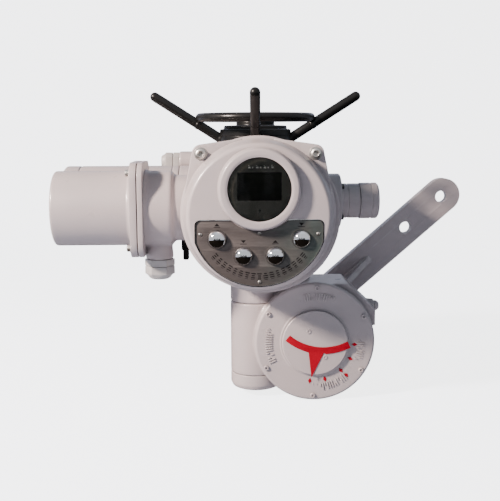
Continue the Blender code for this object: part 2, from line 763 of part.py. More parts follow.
def primary_worm_pair():
    shaft = [
        (0.0, 0.150),
        (0.009, 0.150),
        (0.009, 0.0745),
        (0.019, 0.0745),
        (0.019, 0.0655),
        (0.01325, 0.0655),
        (0.01325, -0.0655),
        (0.019, -0.0655),
        (0.019, -0.0745),
        (0.009, -0.0745),
        (0.009, -0.112),
        (0.0, -0.112),
    ]
    worm_axis = (0, WORM_Y, WORM_Z)
    contact = 1.5 * math.pi
    pitch = DRIVE_WORM_RADIUS
    paint(worm("primary_worm", DRIVE_MODULE, pitch, 4, contact, shaft, worm_axis, RIGHT), STEEL)
    width = 0.018
    outlines = [gear_outline(DRIVE_TEETH, DRIVE_MODULE, math.pi / 2), circle(SLEEVE_RADIUS + GAP, 20)]
    wheel = flat("primary_worm_wheel", outlines, width, (0, 0, WORM_Z - width / 2))
    paint(wheel, BRONZE)


def drive_sleeve():
    profile = [
        (0.0, HUB_TOP - 0.0035),
        (SLEEVE_RADIUS, HUB_TOP - 0.0035),
        (SLEEVE_RADIUS, 0.194),
        (0.0185, 0.194),
        (0.0185, 0.186),
        (SLEEVE_RADIUS, 0.186),
        (SLEEVE_RADIUS, COLUMN_TOP + 0.0015),
        (0.0113, COLUMN_TOP + 0.0015),
        (0.0113, 0.090),
        (0.0, 0.090),
    ]
    return paint(turned("drive_sleeve", profile, (0, 0, 0), steps=SMALL), STEEL)


def spring_pack():
    axis = (0, WORM_Y, WORM_Z)
    joint, end = SPRING_JOINT + GAP, SPRING_CAP_JOINT
    outer = [
        (0.020, end),
        (0.028, end),
        (0.028, 0.140),
        (0.030, 0.138),
        (0.042, 0.138),
        (0.044, 0.136),
        (0.044, 0.116),
        (0.047, 0.114),
        (0.047, joint),
        (0.024, joint),
        (0.024, 0.130),
        (0.020, 0.132),
    ]
    paint(turned("spring_pack_housing", outer, axis, RIGHT, ROUND, ring=True), PAINT)
    cap = [
        (0.0, SPRING_END),
        (0.0265, SPRING_END),
        (0.029, SPRING_END - 0.0025),
        (0.029, end + GAP),
        (0.020, end + GAP),
        (0.020, SPRING_END - 0.005),
        (0.0, SPRING_END - 0.005),
    ]
    paint(turned("spring_pack_cap", cap, axis, RIGHT, 20), PAINT)
    stack = []
    discs = 4
    pitch = 0.004
    for i in range(discs):
        top = 0.129 - i * pitch
        stack += [(0.0215, top - 0.0008), (0.0215, top - 0.0024), (0.0165, top - 0.0035)]
    profile = [(0.0095, 0.129), (0.0165, 0.129)] + stack + [(0.0095, 0.129 - discs * pitch)]
    paint(turned("disc_springs", profile, axis, RIGHT, 14, ring=True), STEEL)


# ---- handwheel ---------------------------------------------------------------------------
def handwheel():
    top, bottom = HUB_TOP, HUB_BOTTOM
    bore = SLEEVE_RADIUS + GAP
    profile = [
        (0.0, top),
        (0.028, top),
        (0.029, top - 0.001),
        (0.029, top - 0.007),
        (0.047, top - 0.008),
        (0.048, top - 0.010),
        (0.048, top - 0.012),
        (HUB_RADIUS, top - 0.0135),
        (HUB_RADIUS, bottom),
        (bore, bottom),
        (bore, top - 0.003),
        (0.0, top - 0.003),
    ]
    wheel = turned("handwheel", profile, (0, 0, 0))
    start, tip = Vector((BAR_START[0], 0, BAR_START[1])), Vector((BAR_TIP[0], 0, BAR_TIP[1]))
    length = (tip - start).length
    lean = math.atan2(tip.x - start.x, tip.z - start.z)
    nose = [(r, h) for r, h in arc(BAR_RADIUS, math.pi / 2, 0.0, 2, (0.0, length - BAR_RADIUS))]
    nose[0] = (0.0, length)
    bar_profile = nose + [(BAR_RADIUS, 0.0), (0.0, 0.0)]
    for i, name in enumerate(("right", "back", "left", "front")):
        turn = BAR_TURN + i * math.pi / 2
        root = Vector((start.x * math.cos(turn), start.x * math.sin(turn), start.z))
        join(wheel, turned(f"handwheel_bar_{name}", bar_profile, root, (0.0, lean, turn), 8))
    rim = arc(RIM_TUBE, math.pi / 2, -1.5 * math.pi, 6, (RIM_RADIUS, 0.0))[:-1]
    join(wheel, turned("handwheel_rim", rim, (0, 0, RIM_Z), UP, 32, ring=True))
    return paint(wheel, BLACK_PAINT)


# ---- declutch lever ----------------------------------------------------------------------
def declutch_lever():
    hub = [
        (0.0, 0.013),
        (0.0085, 0.013),
        (0.0095, 0.012),
        (0.0095, GAP),
        (0.005, GAP),
        (0.005, -0.014),
        (0.0, -0.014),
    ]
    lever = turned("declutch_lever", hub, LEVER_PIVOT, LEFT, SMALL)
    low, high = (-0.024, -0.0065, 0.002), (0.002, 0.0065, 0.011)
    join(lever, bevel(box("lever_grip", low, high, LEVER_PIVOT, LEFT), 0.002))
    return paint(lever, BLACK_PAINT)


# ---- gearbox -----------------------------------------------------------------------------
def case_outline():
    """The case seen from the front, about the output axis: a disc with a squared top."""
    r = CASE_RADIUS
    top, shoulder, side, foot = 0.0875, 0.052, 0.094, 0.022
    start = math.asin(foot / r)
    lower = arc(r, start, -1.5 * math.pi + 0.30, 28)
    return lower + [(shoulder, top), (side - 0.003, 0.050), (side, 0.047), (side, foot)]


def gearbox_case():
    depth = CASE_BACK - CASE_FRONT
    case = flat("gearbox_case", [case_outline()], depth, (OUTPUT_X, CASE_BACK, 0), FRONT)
    column = [
        (0.0, COLUMN_TOP),
        (COLUMN_RADIUS, COLUMN_TOP),
        (COLUMN_RADIUS, COLUMN_BOTTOM),
        (0.0, COLUMN_BOTTOM),
    ]
    join(case, turned("case_column", column, (0, 0, 0)))
    web = box("case_web", (0.0, -0.033, -0.040), (0.050, 0.036, 0.046))
    join(case, web)
    side_boss = cylinder("side_stop_boss", 0.0105, 0.140, 0.1845, (0, *SIDE_STOP), RIGHT)
    top_boss = cylinder("top_stop_boss", 0.0105, 0.070, 0.0965, (*TOP_STOP, 0))
    join(case, side_boss, top_boss)
    cut(
        case,
        cylinder("wheel_chamber", 0.076, -0.016, 0.060, (OUTPUT_X, 0, 0), FRONT, 32),
        cylinder("column_bore", 0.024, -0.070, 0.070, (0, 0, 0), UP, 24),
        cylinder("rear_bush_seat", 0.0262, -0.0465, 0.010, (OUTPUT_X, 0, 0), FRONT, 24),
        cylinder("rear_bore", SHAFT_RADIUS + 0.001, -0.060, 0.010, (OUTPUT_X, 0, 0), FRONT, 24),
        cylinder("side_stop_bore", 0.0058, 0.120, 0.195, (0, *SIDE_STOP), RIGHT, TINY),
        cylinder("top_stop_bore", 0.0058, 0.050, 0.110, (*TOP_STOP, 0), UP, TINY),
        cylinder("housing_clearance", COLUMN_RADIUS + 0.0006, COLUMN_TOP, 0.110, (0, 0, 0), UP, ROUND),
        cylinder("cap_clearance", COLUMN_RADIUS + 0.0006, -0.110, COLUMN_BOTTOM, (0, 0, 0), UP, ROUND),
    )
    return paint(case, PAINT)


def gearbox_cover():
    front, back = -GEAR_COVER_FRONT, -CASE_FRONT + GAP
    profile = [
        (0.0312, front),
        (0.0890, front),
        (0.0915, front - 0.0025),
        (0.0915, back),
        (0.0312, back),
    ]
    cover = turned("gearbox_cover", profile, (OUTPUT_X, 0, 0), FRONT, 36, ring=True)
    paint(cover, PAINT)
    cap = [
        (0.0, COLUMN_BOTTOM - GAP),
        (COLUMN_RADIUS, COLUMN_BOTTOM - GAP),
        (COLUMN_RADIUS, -0.074),
        (COLUMN_RADIUS - 0.003, -0.080),
        (COLUMN_RADIUS - 0.008, -0.082),
        (0.0, -0.082),
    ]
    paint(turned("column_cap", cap, (0, 0, 0)), PAINT)


def output_worm_pair():
    shaft = [
        (0.0, 0.0885),
        (0.011, 0.0885),
        (0.011, 0.046),
        (0.0135, 0.046),
        (0.0135, -0.046),
        (0.011, -0.046),
        (0.011, -0.0555),
        (0.0, -0.0555),
    ]
    paint(worm("output_worm", WHEEL_MODULE, WORM_RADIUS, 4, 0.0, shaft, (0, 0, 0), UP), STEEL)
    width = 0.018
    outlines = [gear_outline(WHEEL_TEETH, WHEEL_MODULE, math.pi), circle(SHAFT_RADIUS + GAP, 24)]
    wheel = flat("output_worm_wheel", outlines, width, (OUTPUT_X, width / 2, 0), FRONT)
    paint(wheel, BRONZE)


def output_shaft():
    front = -GEAR_COVER_FRONT + 0.0002
    profile = [
        (0.0, front),
        (0.0275, front),
        (0.0275, 0.0145),
        (SHAFT_RADIUS, 0.0145),
        (SHAFT_RADIUS, -SHAFT_BACK + 0.001),
        (SHAFT_RADIUS - 0.001, -SHAFT_BACK),
        (0.0, -SHAFT_BACK),
    ]
    shaft = turned("output_shaft", profile, (OUTPUT_X, 0, 0), FRONT, 24)
    key_seat = box("key_seat", (-0.0063, 0.0167, -0.1403), (0.0063, 0.0300, -0.0797), (OUTPUT_X, 0, 0), FRONT)
    cut(shaft, key_seat)
    paint(shaft, STEEL)
    key = bevel(
        box("arm_key", (-0.006, 0.017, -0.140), (0.006, 0.0245, -0.080), (OUTPUT_X, 0, 0), FRONT),
        0.0005,
        1,
    )
    paint(key, STEEL)
    front_bush = washer("front_bush", 0.0278, 0.0309, 0.0420, 0.0545, (OUTPUT_X, 0, 0), FRONT, 24)
    rear_bush = washer("rear_bush", SHAFT_RADIUS + GAP, 0.0259, -0.0462, -0.0165, (OUTPUT_X, 0, 0), FRONT, 24)
    paint(front_bush, BRONZE)
    paint(rear_bush, BRONZE)


def pointer_cap():
    profile = [
        (0.0, 0.0622),
        (0.0475, 0.0622),
        (0.0500, 0.0600),
        (0.0500, 0.0562),
        (0.0, 0.0562),
    ]
    return paint(turned("pointer_cap", profile, (OUTPUT_X, 0, 0), FRONT, LARGE), PAINT)


def stop_bolts():
    hex_bolt("side_stop_bolt", 0.005, 0.0092, 0.0065, 0.028, (0.1845 + GAP, *SIDE_STOP), RIGHT)
    hex_bolt("top_stop_bolt", 0.005, 0.0092, 0.0065, 0.015, (*TOP_STOP, 0.0965 + GAP), UP)


# ---- lever arm ---------------------------------------------------------------------------
def lever_arm():
    thickness = SHAFT_BACK - ARM_FRONT
    half = ARM_WIDTH / 2
    spread = math.asin(half / ARM_HUB_RADIUS)
    outline = arc(half, -math.pi / 2, math.pi / 2, 10, (ARM_END, 0.0))
    outline += arc(ARM_HUB_RADIUS, spread, 2 * math.pi - spread, 14)
    holes = [circle(ARM_HOLE_RADIUS, 16, (r, 0.0)) for r in ARM_HOLES]
    facing = (math.pi / 2, -ARM_ANGLE, 0.0)
    centre = (OUTPUT_X, 0, 0)
    arm = flat("lever_arm", [outline] + holes, thickness, (OUTPUT_X, SHAFT_BACK, 0), facing)
    hub = [
        (0.0, -ARM_HUB_FRONT),
        (0.0335, -ARM_HUB_FRONT),
        (0.035, -ARM_HUB_FRONT - 0.0015),
        (0.035, -ARM_FRONT - 0.002),
        (0.0, -ARM_FRONT - 0.002),
    ]
    join(arm, turned("arm_hub", hub, centre, FRONT))
    side = [(0.022, -0.0005), (0.153, -0.0005), (0.030, ARM_FRONT - ARM_HUB_FRONT - 0.005), (0.022, 0.060)]
    across = Vector((math.sin(ARM_ANGLE), 0.0, -math.cos(ARM_ANGLE)))
    along = Vector((math.cos(ARM_ANGLE), 0.0, math.sin(ARM_ANGLE)))
    lie = Matrix((along, (0.0, -1.0, 0.0), across)).transposed().to_euler()
    start = Vector((OUTPUT_X, ARM_FRONT, 0.0)) - across * ARM_RIB / 2
    rib = flat("arm_rib", [side], ARM_RIB, start, lie)
    join(arm, rib)
    key_seat = box("arm_key_seat", (-0.0063, 0.0, -0.160), (0.0063, 0.0248, -0.0797), centre, FRONT)
    cut(arm, cylinder("arm_bore", SHAFT_RADIUS + GAP, -0.160, -0.050, centre, FRONT, 24), key_seat)
    return paint(arm, PAINT)


main_housing()
top_bearing_cover()
bearings()
control_cover()
cover_parts()
control_plate()
plate_screws()
push_buttons()
cover_screws()
terminal_compartment()
cable_gland("power", 0.0165, (POWER_GLAND_X, TERMINAL_Y, 0.132), DOWN)
cable_gland("signal", 0.0130, (-0.122, SIGNAL_GLAND_Y, SIGNAL_GLAND_Z), LEFT)
motor()
primary_worm_pair()
drive_sleeve()
spring_pack()
handwheel()
declutch_lever()
gearbox_case()
gearbox_cover()
output_worm_pair()
output_shaft()
pointer_cap()
stop_bolts()
lever_arm()
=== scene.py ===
"""Looks of the motorized valve actuator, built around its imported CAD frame.

Every piece rides on a CAD body. The main axes and some radii come from the boxes of the CAD
nodes, and the other sizes are written here to match the CAD. Lengths are metres. at(x, y, z)
measures from the vertical drive axis at the height of the output shaft.
"""

import json
import math
import random

import bmesh
import bpy
from mathutils import Euler, Matrix, Vector


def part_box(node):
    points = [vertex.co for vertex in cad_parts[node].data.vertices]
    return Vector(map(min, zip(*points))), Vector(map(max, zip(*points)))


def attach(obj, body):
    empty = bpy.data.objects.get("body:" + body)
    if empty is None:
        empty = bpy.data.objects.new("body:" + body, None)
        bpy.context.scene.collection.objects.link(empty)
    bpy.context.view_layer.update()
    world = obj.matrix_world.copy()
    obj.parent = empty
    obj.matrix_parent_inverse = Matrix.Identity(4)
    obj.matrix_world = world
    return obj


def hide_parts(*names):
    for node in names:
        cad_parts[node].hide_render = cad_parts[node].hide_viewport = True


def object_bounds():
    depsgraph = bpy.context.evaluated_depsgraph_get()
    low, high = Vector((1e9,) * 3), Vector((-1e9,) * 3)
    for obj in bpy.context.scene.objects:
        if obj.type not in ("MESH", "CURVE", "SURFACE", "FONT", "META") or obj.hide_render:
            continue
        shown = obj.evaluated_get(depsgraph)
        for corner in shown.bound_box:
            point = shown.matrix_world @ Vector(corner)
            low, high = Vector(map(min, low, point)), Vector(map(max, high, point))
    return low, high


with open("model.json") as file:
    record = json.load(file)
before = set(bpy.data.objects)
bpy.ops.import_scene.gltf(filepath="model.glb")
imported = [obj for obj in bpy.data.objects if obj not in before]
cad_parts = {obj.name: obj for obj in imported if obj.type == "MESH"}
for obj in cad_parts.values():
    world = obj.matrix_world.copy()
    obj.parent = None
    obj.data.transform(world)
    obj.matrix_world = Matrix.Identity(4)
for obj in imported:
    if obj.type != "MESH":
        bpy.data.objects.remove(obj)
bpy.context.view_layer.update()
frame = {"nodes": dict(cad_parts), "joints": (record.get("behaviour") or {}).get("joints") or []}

UP = Matrix.Identity(3)
DOWN = Euler((math.pi, 0.0, 0.0)).to_matrix()
FRONT = Euler((math.pi / 2, 0.0, 0.0)).to_matrix()
BACK = Euler((-math.pi / 2, 0.0, 0.0)).to_matrix()
RIGHT = Euler((0.0, math.pi / 2, 0.0)).to_matrix()
LEFT = Euler((0.0, -math.pi / 2, 0.0)).to_matrix()


# ---- places from the CAD frame, and sizes that match it -----------------------------------
def middle(node):
    low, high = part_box(node)
    return (low + high) / 2


DRIVE = Vector((middle("drive_sleeve").x, middle("drive_sleeve").y, middle("output_shaft").z))


def at(x, y, z):
    return DRIVE + Vector((x, y, z))


def local_box(node):
    low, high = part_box(node)
    return low - DRIVE, high - DRIVE


def local_middle(node):
    return middle(node) - DRIVE


COVER_LOW, COVER_HIGH = local_box("control_cover")
COVER_RADIUS = (COVER_HIGH.x - COVER_LOW.x) / 2
COVER_Z = (COVER_HIGH.z + COVER_LOW.z) / 2
COVER_BACK = -COVER_HIGH.y
COVER_FACE = 0.150
BEZEL_FRONT = -COVER_LOW.y
WINDOW_Z = local_middle("window_glass").z
PLATE_LOW, PLATE_HIGH = local_box("control_plate")
PLATE_HALF_WIDTH = (PLATE_HIGH.x - PLATE_LOW.x) / 2
PLATE_ARC_RADIUS = 0.093
PLATE_ARC_Z = PLATE_LOW.z + PLATE_ARC_RADIUS
PLATE_TOP = PLATE_HIGH.z
PLATE_FRONT = -PLATE_LOW.y
BEZEL_CLEAR = 0.0583
SCREW_SEAT = 0.086
EAR_X, EAR_Z, EAR_RADIUS, EAR_FRONT = 0.080, 0.085, 0.0125, 0.1165
LOWER_SCREW = 0.0714
COLUMN_RADIUS = (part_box("column_cap")[1].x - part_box("column_cap")[0].x) / 2
LEVER_PIVOT = next(Vector(j["pos_m"]) for j in frame["joints"] if j["name"] == "declutch_turn")
GEAR = local_middle("output_shaft")
GEAR_X = GEAR.x
GEAR_RADIUS = (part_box("gearbox_cover")[1].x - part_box("gearbox_cover")[0].x) / 2
GEAR_FRONT = -local_box("gearbox_cover")[0].y
SHAFT_BACK = local_box("output_shaft")[1].y
TERMINAL = local_middle("terminal_cover")
TERMINAL_RADIUS = 0.0544
WORM = local_middle("primary_worm")
ARM_ANGLE = math.radians(41.2)
ARM_ALONG = Vector((math.cos(ARM_ANGLE), 0.0, math.sin(ARM_ANGLE)))
ARM_ACROSS = Vector((math.sin(ARM_ANGLE), 0.0, -math.cos(ARM_ANGLE)))


# ---- shader tools ------------------------------------------------------------------------
class Shader:
    """A small builder for one node material with object-space noise layers."""

    def __init__(self, name):
        self.material = bpy.data.materials.new(name)
        self.material.use_nodes = True
        self.tree = self.material.node_tree
        self.surface = self.tree.nodes["Principled BSDF"]
        self.space = self.node("ShaderNodeTexCoord").outputs["Object"]

    def node(self, kind, **values):
        made = self.tree.nodes.new(kind)
        for key, value in values.items():
            if key in made.inputs:
                made.inputs[key].default_value = value
            else:
                setattr(made, key, value)
        return made

    def link(self, source, target):
        self.tree.links.new(source, target)

    def noise(self, scale, detail=4.0, stretch=None):
        noise = self.node("ShaderNodeTexNoise", Scale=scale, Detail=detail)
        if stretch:
            mapping = self.node("ShaderNodeMapping")
            mapping.inputs["Scale"].default_value = stretch
            self.link(self.space, mapping.inputs["Vector"])
            self.link(mapping.outputs["Vector"], noise.inputs["Vector"])
        else:
            self.link(self.space, noise.inputs["Vector"])
        return noise.outputs["Fac"]

    def ramp(self, source, low, high, low_value=0.0, high_value=1.0):
        spread = self.node("ShaderNodeMapRange")
        spread.inputs["From Min"].default_value = low
        spread.inputs["From Max"].default_value = high
        spread.inputs["To Min"].default_value = low_value
        spread.inputs["To Max"].default_value = high_value
        self.link(source, spread.inputs["Value"])
        return spread.outputs["Result"]

    def mix(self, share, first, second):
        """A colour mix; first and second are colours or colour sockets."""
        mix = self.node("ShaderNodeMix", data_type="RGBA")
        self.link(share, mix.inputs["Factor"])
        for value, socket in ((first, mix.inputs[6]), (second, mix.inputs[7])):
            if isinstance(value, tuple):
                socket.default_value = (*value, 1.0)
            else:
                self.link(value, socket)
        return mix.outputs[2]

    def multiply(self, first, second):
        product = self.node("ShaderNodeMath", operation="MULTIPLY")
        self.link(first, product.inputs[0])
        if isinstance(second, float):
            product.inputs[1].default_value = second
        else:
            self.link(second, product.inputs[1])
        return product.outputs["Value"]

    def edges(self, low, high):
        pointiness = self.node("ShaderNodeNewGeometry").outputs["Pointiness"]
        return self.multiply(self.ramp(pointiness, low, high), self.ramp(self.noise(60.0), 0.4, 0.6))

    def crevice_shade_mask(self, distance):
        # Painted shade: a mask that is 1 deep in crevices and 0 in the open, taken from ambient occlusion.
        hollow = self.node("ShaderNodeAmbientOcclusion", samples=4, Distance=distance)
        return self.ramp(hollow.outputs["AO"], 0.15, 0.85, 1.0, 0.0)

    def bump(self, height, strength, distance=0.001, after=None):
        bump = self.node("ShaderNodeBump", Strength=strength, Distance=distance)
        self.link(height, bump.inputs["Height"])
        if after:
            self.link(after, bump.inputs["Normal"])
        return bump.outputs["Normal"]

    def finish(self, colour, roughness, normal=None, **values):
        self.link(colour, self.surface.inputs["Base Color"])
        self.link(roughness, self.surface.inputs["Roughness"])
        if normal:
            self.link(normal, self.surface.inputs["Normal"])
        for key, value in values.items():
            self.surface.inputs[key].default_value = value
        return self.material


def cast_paint(name, light, dark, peel):
    """Semi-gloss enamel over a sand casting, chipped a little lighter on its edges, with painted shade and
    grime darkening its crevices.
    """
    shader = Shader(name)
    cloudy = shader.ramp(shader.noise(9.0, 3.0), 0.35, 0.65)
    colour = shader.mix(cloudy, light, dark)
    # Painted shade in the crevices, broken up by noise so that it also reads as grime.
    crevice_shade_and_grime = shader.multiply(shader.crevice_shade_mask(0.010), shader.ramp(shader.noise(35.0), 0.3, 0.7, 0.25, 0.75))
    colour = shader.mix(crevice_shade_and_grime, colour, (0.22, 0.20, 0.19))
    specks = shader.ramp(shader.noise(260.0, 2.0), 0.70, 0.74, 0.0, 0.30)
    colour = shader.mix(specks, colour, (0.34, 0.31, 0.29))
    colour = shader.mix(shader.edges(0.53, 0.60), colour, (0.66, 0.63, 0.62))
    coarse = shader.bump(shader.noise(70.0, 3.0), 0.20 * peel)
    fine = shader.bump(shader.noise(420.0, 3.0), 0.16 * peel, after=coarse)
    roughness = shader.ramp(shader.noise(24.0), 0.3, 0.7, 0.26, 0.42)
    return shader.finish(colour, roughness, fine, **{"Coat Weight": 0.25, "Coat Roughness": 0.12})


def gloss_black(name):
    shader = Shader(name)
    cloudy = shader.ramp(shader.noise(14.0), 0.3, 0.7)
    colour = shader.mix(cloudy, (0.005, 0.005, 0.005), (0.009, 0.009, 0.009))
    colour = shader.mix(shader.edges(0.66, 0.80), colour, (0.030, 0.028, 0.026))
    normal = shader.bump(shader.noise(160.0, 2.0), 0.03)
    roughness = shader.ramp(shader.noise(30.0), 0.3, 0.7, 0.26, 0.40)
    return shader.finish(colour, roughness, normal, **{"Specular IOR Level": 0.25})


def metal(name, light, dark, rough_low, rough_high, grain=260.0, stretch=None, bump=0.05):
    """Bare metal; stretch lengthens the grain along an axis for brushed and turned faces."""
    shader = Shader(name)
    colour = shader.mix(shader.ramp(shader.noise(40.0, 3.0), 0.3, 0.7), light, dark)
    if stretch:
        streaks = shader.noise(grain, 3.0, stretch)
        colour = shader.mix(shader.ramp(streaks, 0.3, 0.7, 0.0, 0.6), colour, dark)
    else:
        streaks = shader.noise(grain, 3.0)
    # Painted shade: the metal turns darker in its crevices, where ambient occlusion is strong.
    crevice_shade = shader.multiply(shader.crevice_shade_mask(0.004), 0.6)
    colour = shader.mix(crevice_shade, colour, (0.05, 0.045, 0.04))
    normal = shader.bump(streaks, bump)
    roughness = shader.ramp(streaks, 0.3, 0.7, rough_low, rough_high)
    return shader.finish(colour, roughness, normal, Metallic=1.0)


def brushed_plate(name):
    """Dark stainless sheet with a painted bluish-green reflection towards its lower right."""
    shader = Shader(name)
    streaks = shader.noise(2600.0, 2.0, (0.015, 1.0, 1.0))
    colour = shader.mix(shader.ramp(streaks, 0.3, 0.7), (0.100, 0.087, 0.083), (0.160, 0.140, 0.133))
    split = shader.node("ShaderNodeSeparateXYZ")
    shader.link(shader.space, split.inputs["Vector"])
    # Painted reflection: a patchy bluish-green tint that grows towards the plate's right side.
    side = shader.ramp(split.outputs["X"], DRIVE.x - 0.01, DRIVE.x + PLATE_HALF_WIDTH, 0.0, 0.55)
    right_side_reflection = shader.multiply(side, shader.ramp(shader.noise(26.0), 0.35, 0.65, 0.4, 1.0))
    colour = shader.mix(right_side_reflection, colour, (0.05, 0.15, 0.135))
    normal = shader.bump(streaks, 0.06)
    roughness = shader.ramp(streaks, 0.3, 0.7, 0.42, 0.52)
    return shader.finish(colour, roughness, normal, Metallic=0.55)


def moulded(name, light, dark, rough_low, rough_high, bump=0.08, gloss=0.5):
    """Plastic, rubber and ink."""
    shader = Shader(name)
    colour = shader.mix(shader.ramp(shader.noise(30.0), 0.3, 0.7), light, dark)
    normal = shader.bump(shader.noise(340.0, 2.0), bump)
    roughness = shader.ramp(shader.noise(60.0), 0.3, 0.7, rough_low, rough_high)
    return shader.finish(colour, roughness, normal, **{"Specular IOR Level": gloss})


def circuit_board(name):
    shader = Shader(name)
    tracks = shader.node("ShaderNodeTexVoronoi", Scale=160.0, distance="MANHATTAN")
    shader.link(shader.space, tracks.inputs["Vector"])
    lines = shader.ramp(tracks.outputs["Distance"], 0.30, 0.36)
    colour = shader.mix(lines, (0.010, 0.10, 0.045), (0.03, 0.21, 0.10))
    normal = shader.bump(tracks.outputs["Distance"], 0.1)
    return shader.finish(colour, shader.ramp(lines, 0.0, 1.0, 0.3, 0.45), normal)


def copper_winding(name):
    shader = Shader(name)
    wires = shader.noise(500.0, 2.0, (1.0, 0.12, 1.0))
    colour = shader.mix(shader.ramp(wires, 0.4, 0.6), (0.42, 0.16, 0.06), (0.22, 0.08, 0.03))
    roughness = shader.ramp(wires, 0.3, 0.7, 0.3, 0.5)
    return shader.finish(colour, roughness, shader.bump(wires, 0.3), Metallic=0.8)


def tinted_glass(name):
    """A thin dark pane: mostly see-through straight on, mirror-like at a slant."""
    shader = Shader(name)
    smudge = shader.noise(45.0, 3.0)
    clear = shader.node("ShaderNodeBsdfTransparent")
    tint = shader.mix(shader.ramp(smudge, 0.3, 0.7), (0.78, 0.78, 0.75), (0.84, 0.84, 0.81))
    shader.link(tint, clear.inputs["Color"])
    shine = shader.node("ShaderNodeBsdfGlossy")
    shader.link(shader.ramp(smudge, 0.3, 0.7, 0.02, 0.07), shine.inputs["Roughness"])
    slant = shader.node("ShaderNodeFresnel", IOR=1.22)
    both = shader.node("ShaderNodeMixShader")
    shader.link(slant.outputs["Fac"], both.inputs["Fac"])
    shader.link(clear.outputs["BSDF"], both.inputs[1])
    shader.link(shine.outputs["BSDF"], both.inputs[2])
    output = shader.tree.nodes["Material Output"]
    shader.link(both.outputs["Shader"], output.inputs["Surface"])
    return shader.material


def pale_floor(name):
    """A floor that the camera sees as near white, but that lights the object only a little."""
    shader = Shader(name)
    colour = shader.mix(shader.ramp(shader.noise(1.5), 0.3, 0.7), (0.42, 0.48, 0.60), (0.45, 0.51, 0.63))
    rough = shader.ramp(shader.noise(3.0), 0.3, 0.7, 0.6, 0.7)
    glow = {"Emission Color": (1.0, 1.0, 1.0, 1.0), "Specular IOR Level": 0.1}
    material = shader.finish(colour, rough, **glow)
    surface = shader.tree.nodes["Principled BSDF"].inputs["Emission Strength"]
    seen = shader.node("ShaderNodeLightPath").outputs["Is Camera Ray"]
    strength = shader.node("ShaderNodeMapRange")
    shader.link(seen, strength.inputs["Value"])
    strength.inputs["To Min"].default_value = 0.10
    strength.inputs["To Max"].default_value = 3.8
    shader.link(strength.outputs["Result"], surface)
    return material


PAINT = cast_paint("grey_enamel_look", (0.48, 0.415, 0.410), (0.43, 0.38, 0.38), 1.0)
SMOOTH_PAINT = cast_paint("smooth_enamel_look", (0.48, 0.420, 0.415), (0.43, 0.385, 0.385), 0.45)
BLACK = gloss_black("black_enamel_look")
CHROME = metal("chrome_look", (0.86, 0.86, 0.87), (0.78, 0.78, 0.79), 0.03, 0.08, bump=0.01)
RIM_METAL = metal("bare_rim_look", (0.72, 0.72, 0.71), (0.60, 0.60, 0.60), 0.12, 0.25)
PLATE = brushed_plate("brushed_plate_look")
ZINC = metal("zinc_look", (0.72, 0.70, 0.67), (0.58, 0.56, 0.53), 0.35, 0.50, bump=0.10)
DARK_STEEL = metal("blackened_look", (0.10, 0.10, 0.10), (0.05, 0.05, 0.05), 0.30, 0.50)
STEEL = metal("turned_steel_look", (0.50, 0.50, 0.51), (0.36, 0.36, 0.37), 0.22, 0.42, 700.0, (1, 1, 0.1))
BRONZE = metal("bronze_look", (0.58, 0.37, 0.16), (0.42, 0.25, 0.10), 0.25, 0.45)
COPPER = copper_winding("stator_look")
NYLON = moulded("grey_nylon_look", (0.47, 0.45, 0.43), (0.42, 0.405, 0.395), 0.35, 0.50)
RUBBER = moulded("rubber_look", (0.020, 0.020, 0.021), (0.035, 0.035, 0.036), 0.70, 0.90)
PLASTIC = moulded("black_plastic_look", (0.030, 0.030, 0.033), (0.045, 0.045, 0.050), 0.40, 0.60)
DISPLAY_GREY = moulded("display_surround_look", (0.150, 0.142, 0.130), (0.170, 0.162, 0.148), 0.55, 0.7)
DISPLAY_BLACK = moulded("display_panel_look", (0.006, 0.006, 0.0065), (0.008, 0.008, 0.0085), 0.45, 0.6, 0.0)
LEGEND = moulded("legend_look", (0.95, 0.94, 0.90), (0.90, 0.89, 0.86), 0.5, 0.7)
INK = moulded("etched_ink_look", (0.006, 0.005, 0.005), (0.010, 0.009, 0.009), 0.75, 0.90, gloss=0.1)
RED = moulded("red_enamel_look", (0.36, 0.0003, 0.014), (0.29, 0.0003, 0.011), 0.55, 0.70, 0.15, 0.08)
GLASS = tinted_glass("window_glass_look")
LAMP = moulded("status_lamp_look", (0.16, 0.17, 0.16), (0.12, 0.13, 0.12), 0.3, 0.5)
BOARD = circuit_board("circuit_board_look")
FLOOR = pale_floor("pale_floor_look")
CARD = moulded("dark_card_look", (0.004, 0.0035, 0.003), (0.007, 0.006, 0.005), 0.9, 1.0, 0.0, 0.0)


# ---- shape tools -------------------------------------------------------------------------
def rounded(profile, radius):
    """Replaces each clear corner of a profile with an arc of up to the given radius."""
    out = [profile[0]]
    for before, corner, after in zip(profile, profile[1:], profile[2:]):
        p, c, n = Vector(before[:2]), Vector(corner[:2]), Vector(after[:2])
        to_p, to_n = p - c, n - c
        if min(to_p.length, to_n.length) < 1e-7 or to_p.angle(to_n) > math.radians(165):
            out.append(corner)
            continue
        reach = min(radius, 0.45 * to_p.length, 0.45 * to_n.length)
        start, end = c + to_p.normalized() * reach, c + to_n.normalized() * reach
        for i in range(5):
            t = i / 4
            point = start * (1 - t) ** 2 + c * 2 * t * (1 - t) + end * t**2
            out.append((point.x, point.y, *corner[2:]))
    out.append(profile[-1])
    return out


def hexed(angle):
    """How far a hexagon's edge is at an angle, when its flats are at distance 1."""
    return 1.0 / math.cos((angle % (math.pi / 3)) - math.pi / 6)


def new_object(name, mesh, material, sharp=40):
    mesh.shade_smooth()
    mesh.set_sharp_from_angle(angle=math.radians(sharp))
    obj = bpy.data.objects.new(name, mesh)
    bpy.context.scene.collection.objects.link(obj)
    if material:
        mesh.materials.clear()
        mesh.materials.append(material)
    return obj


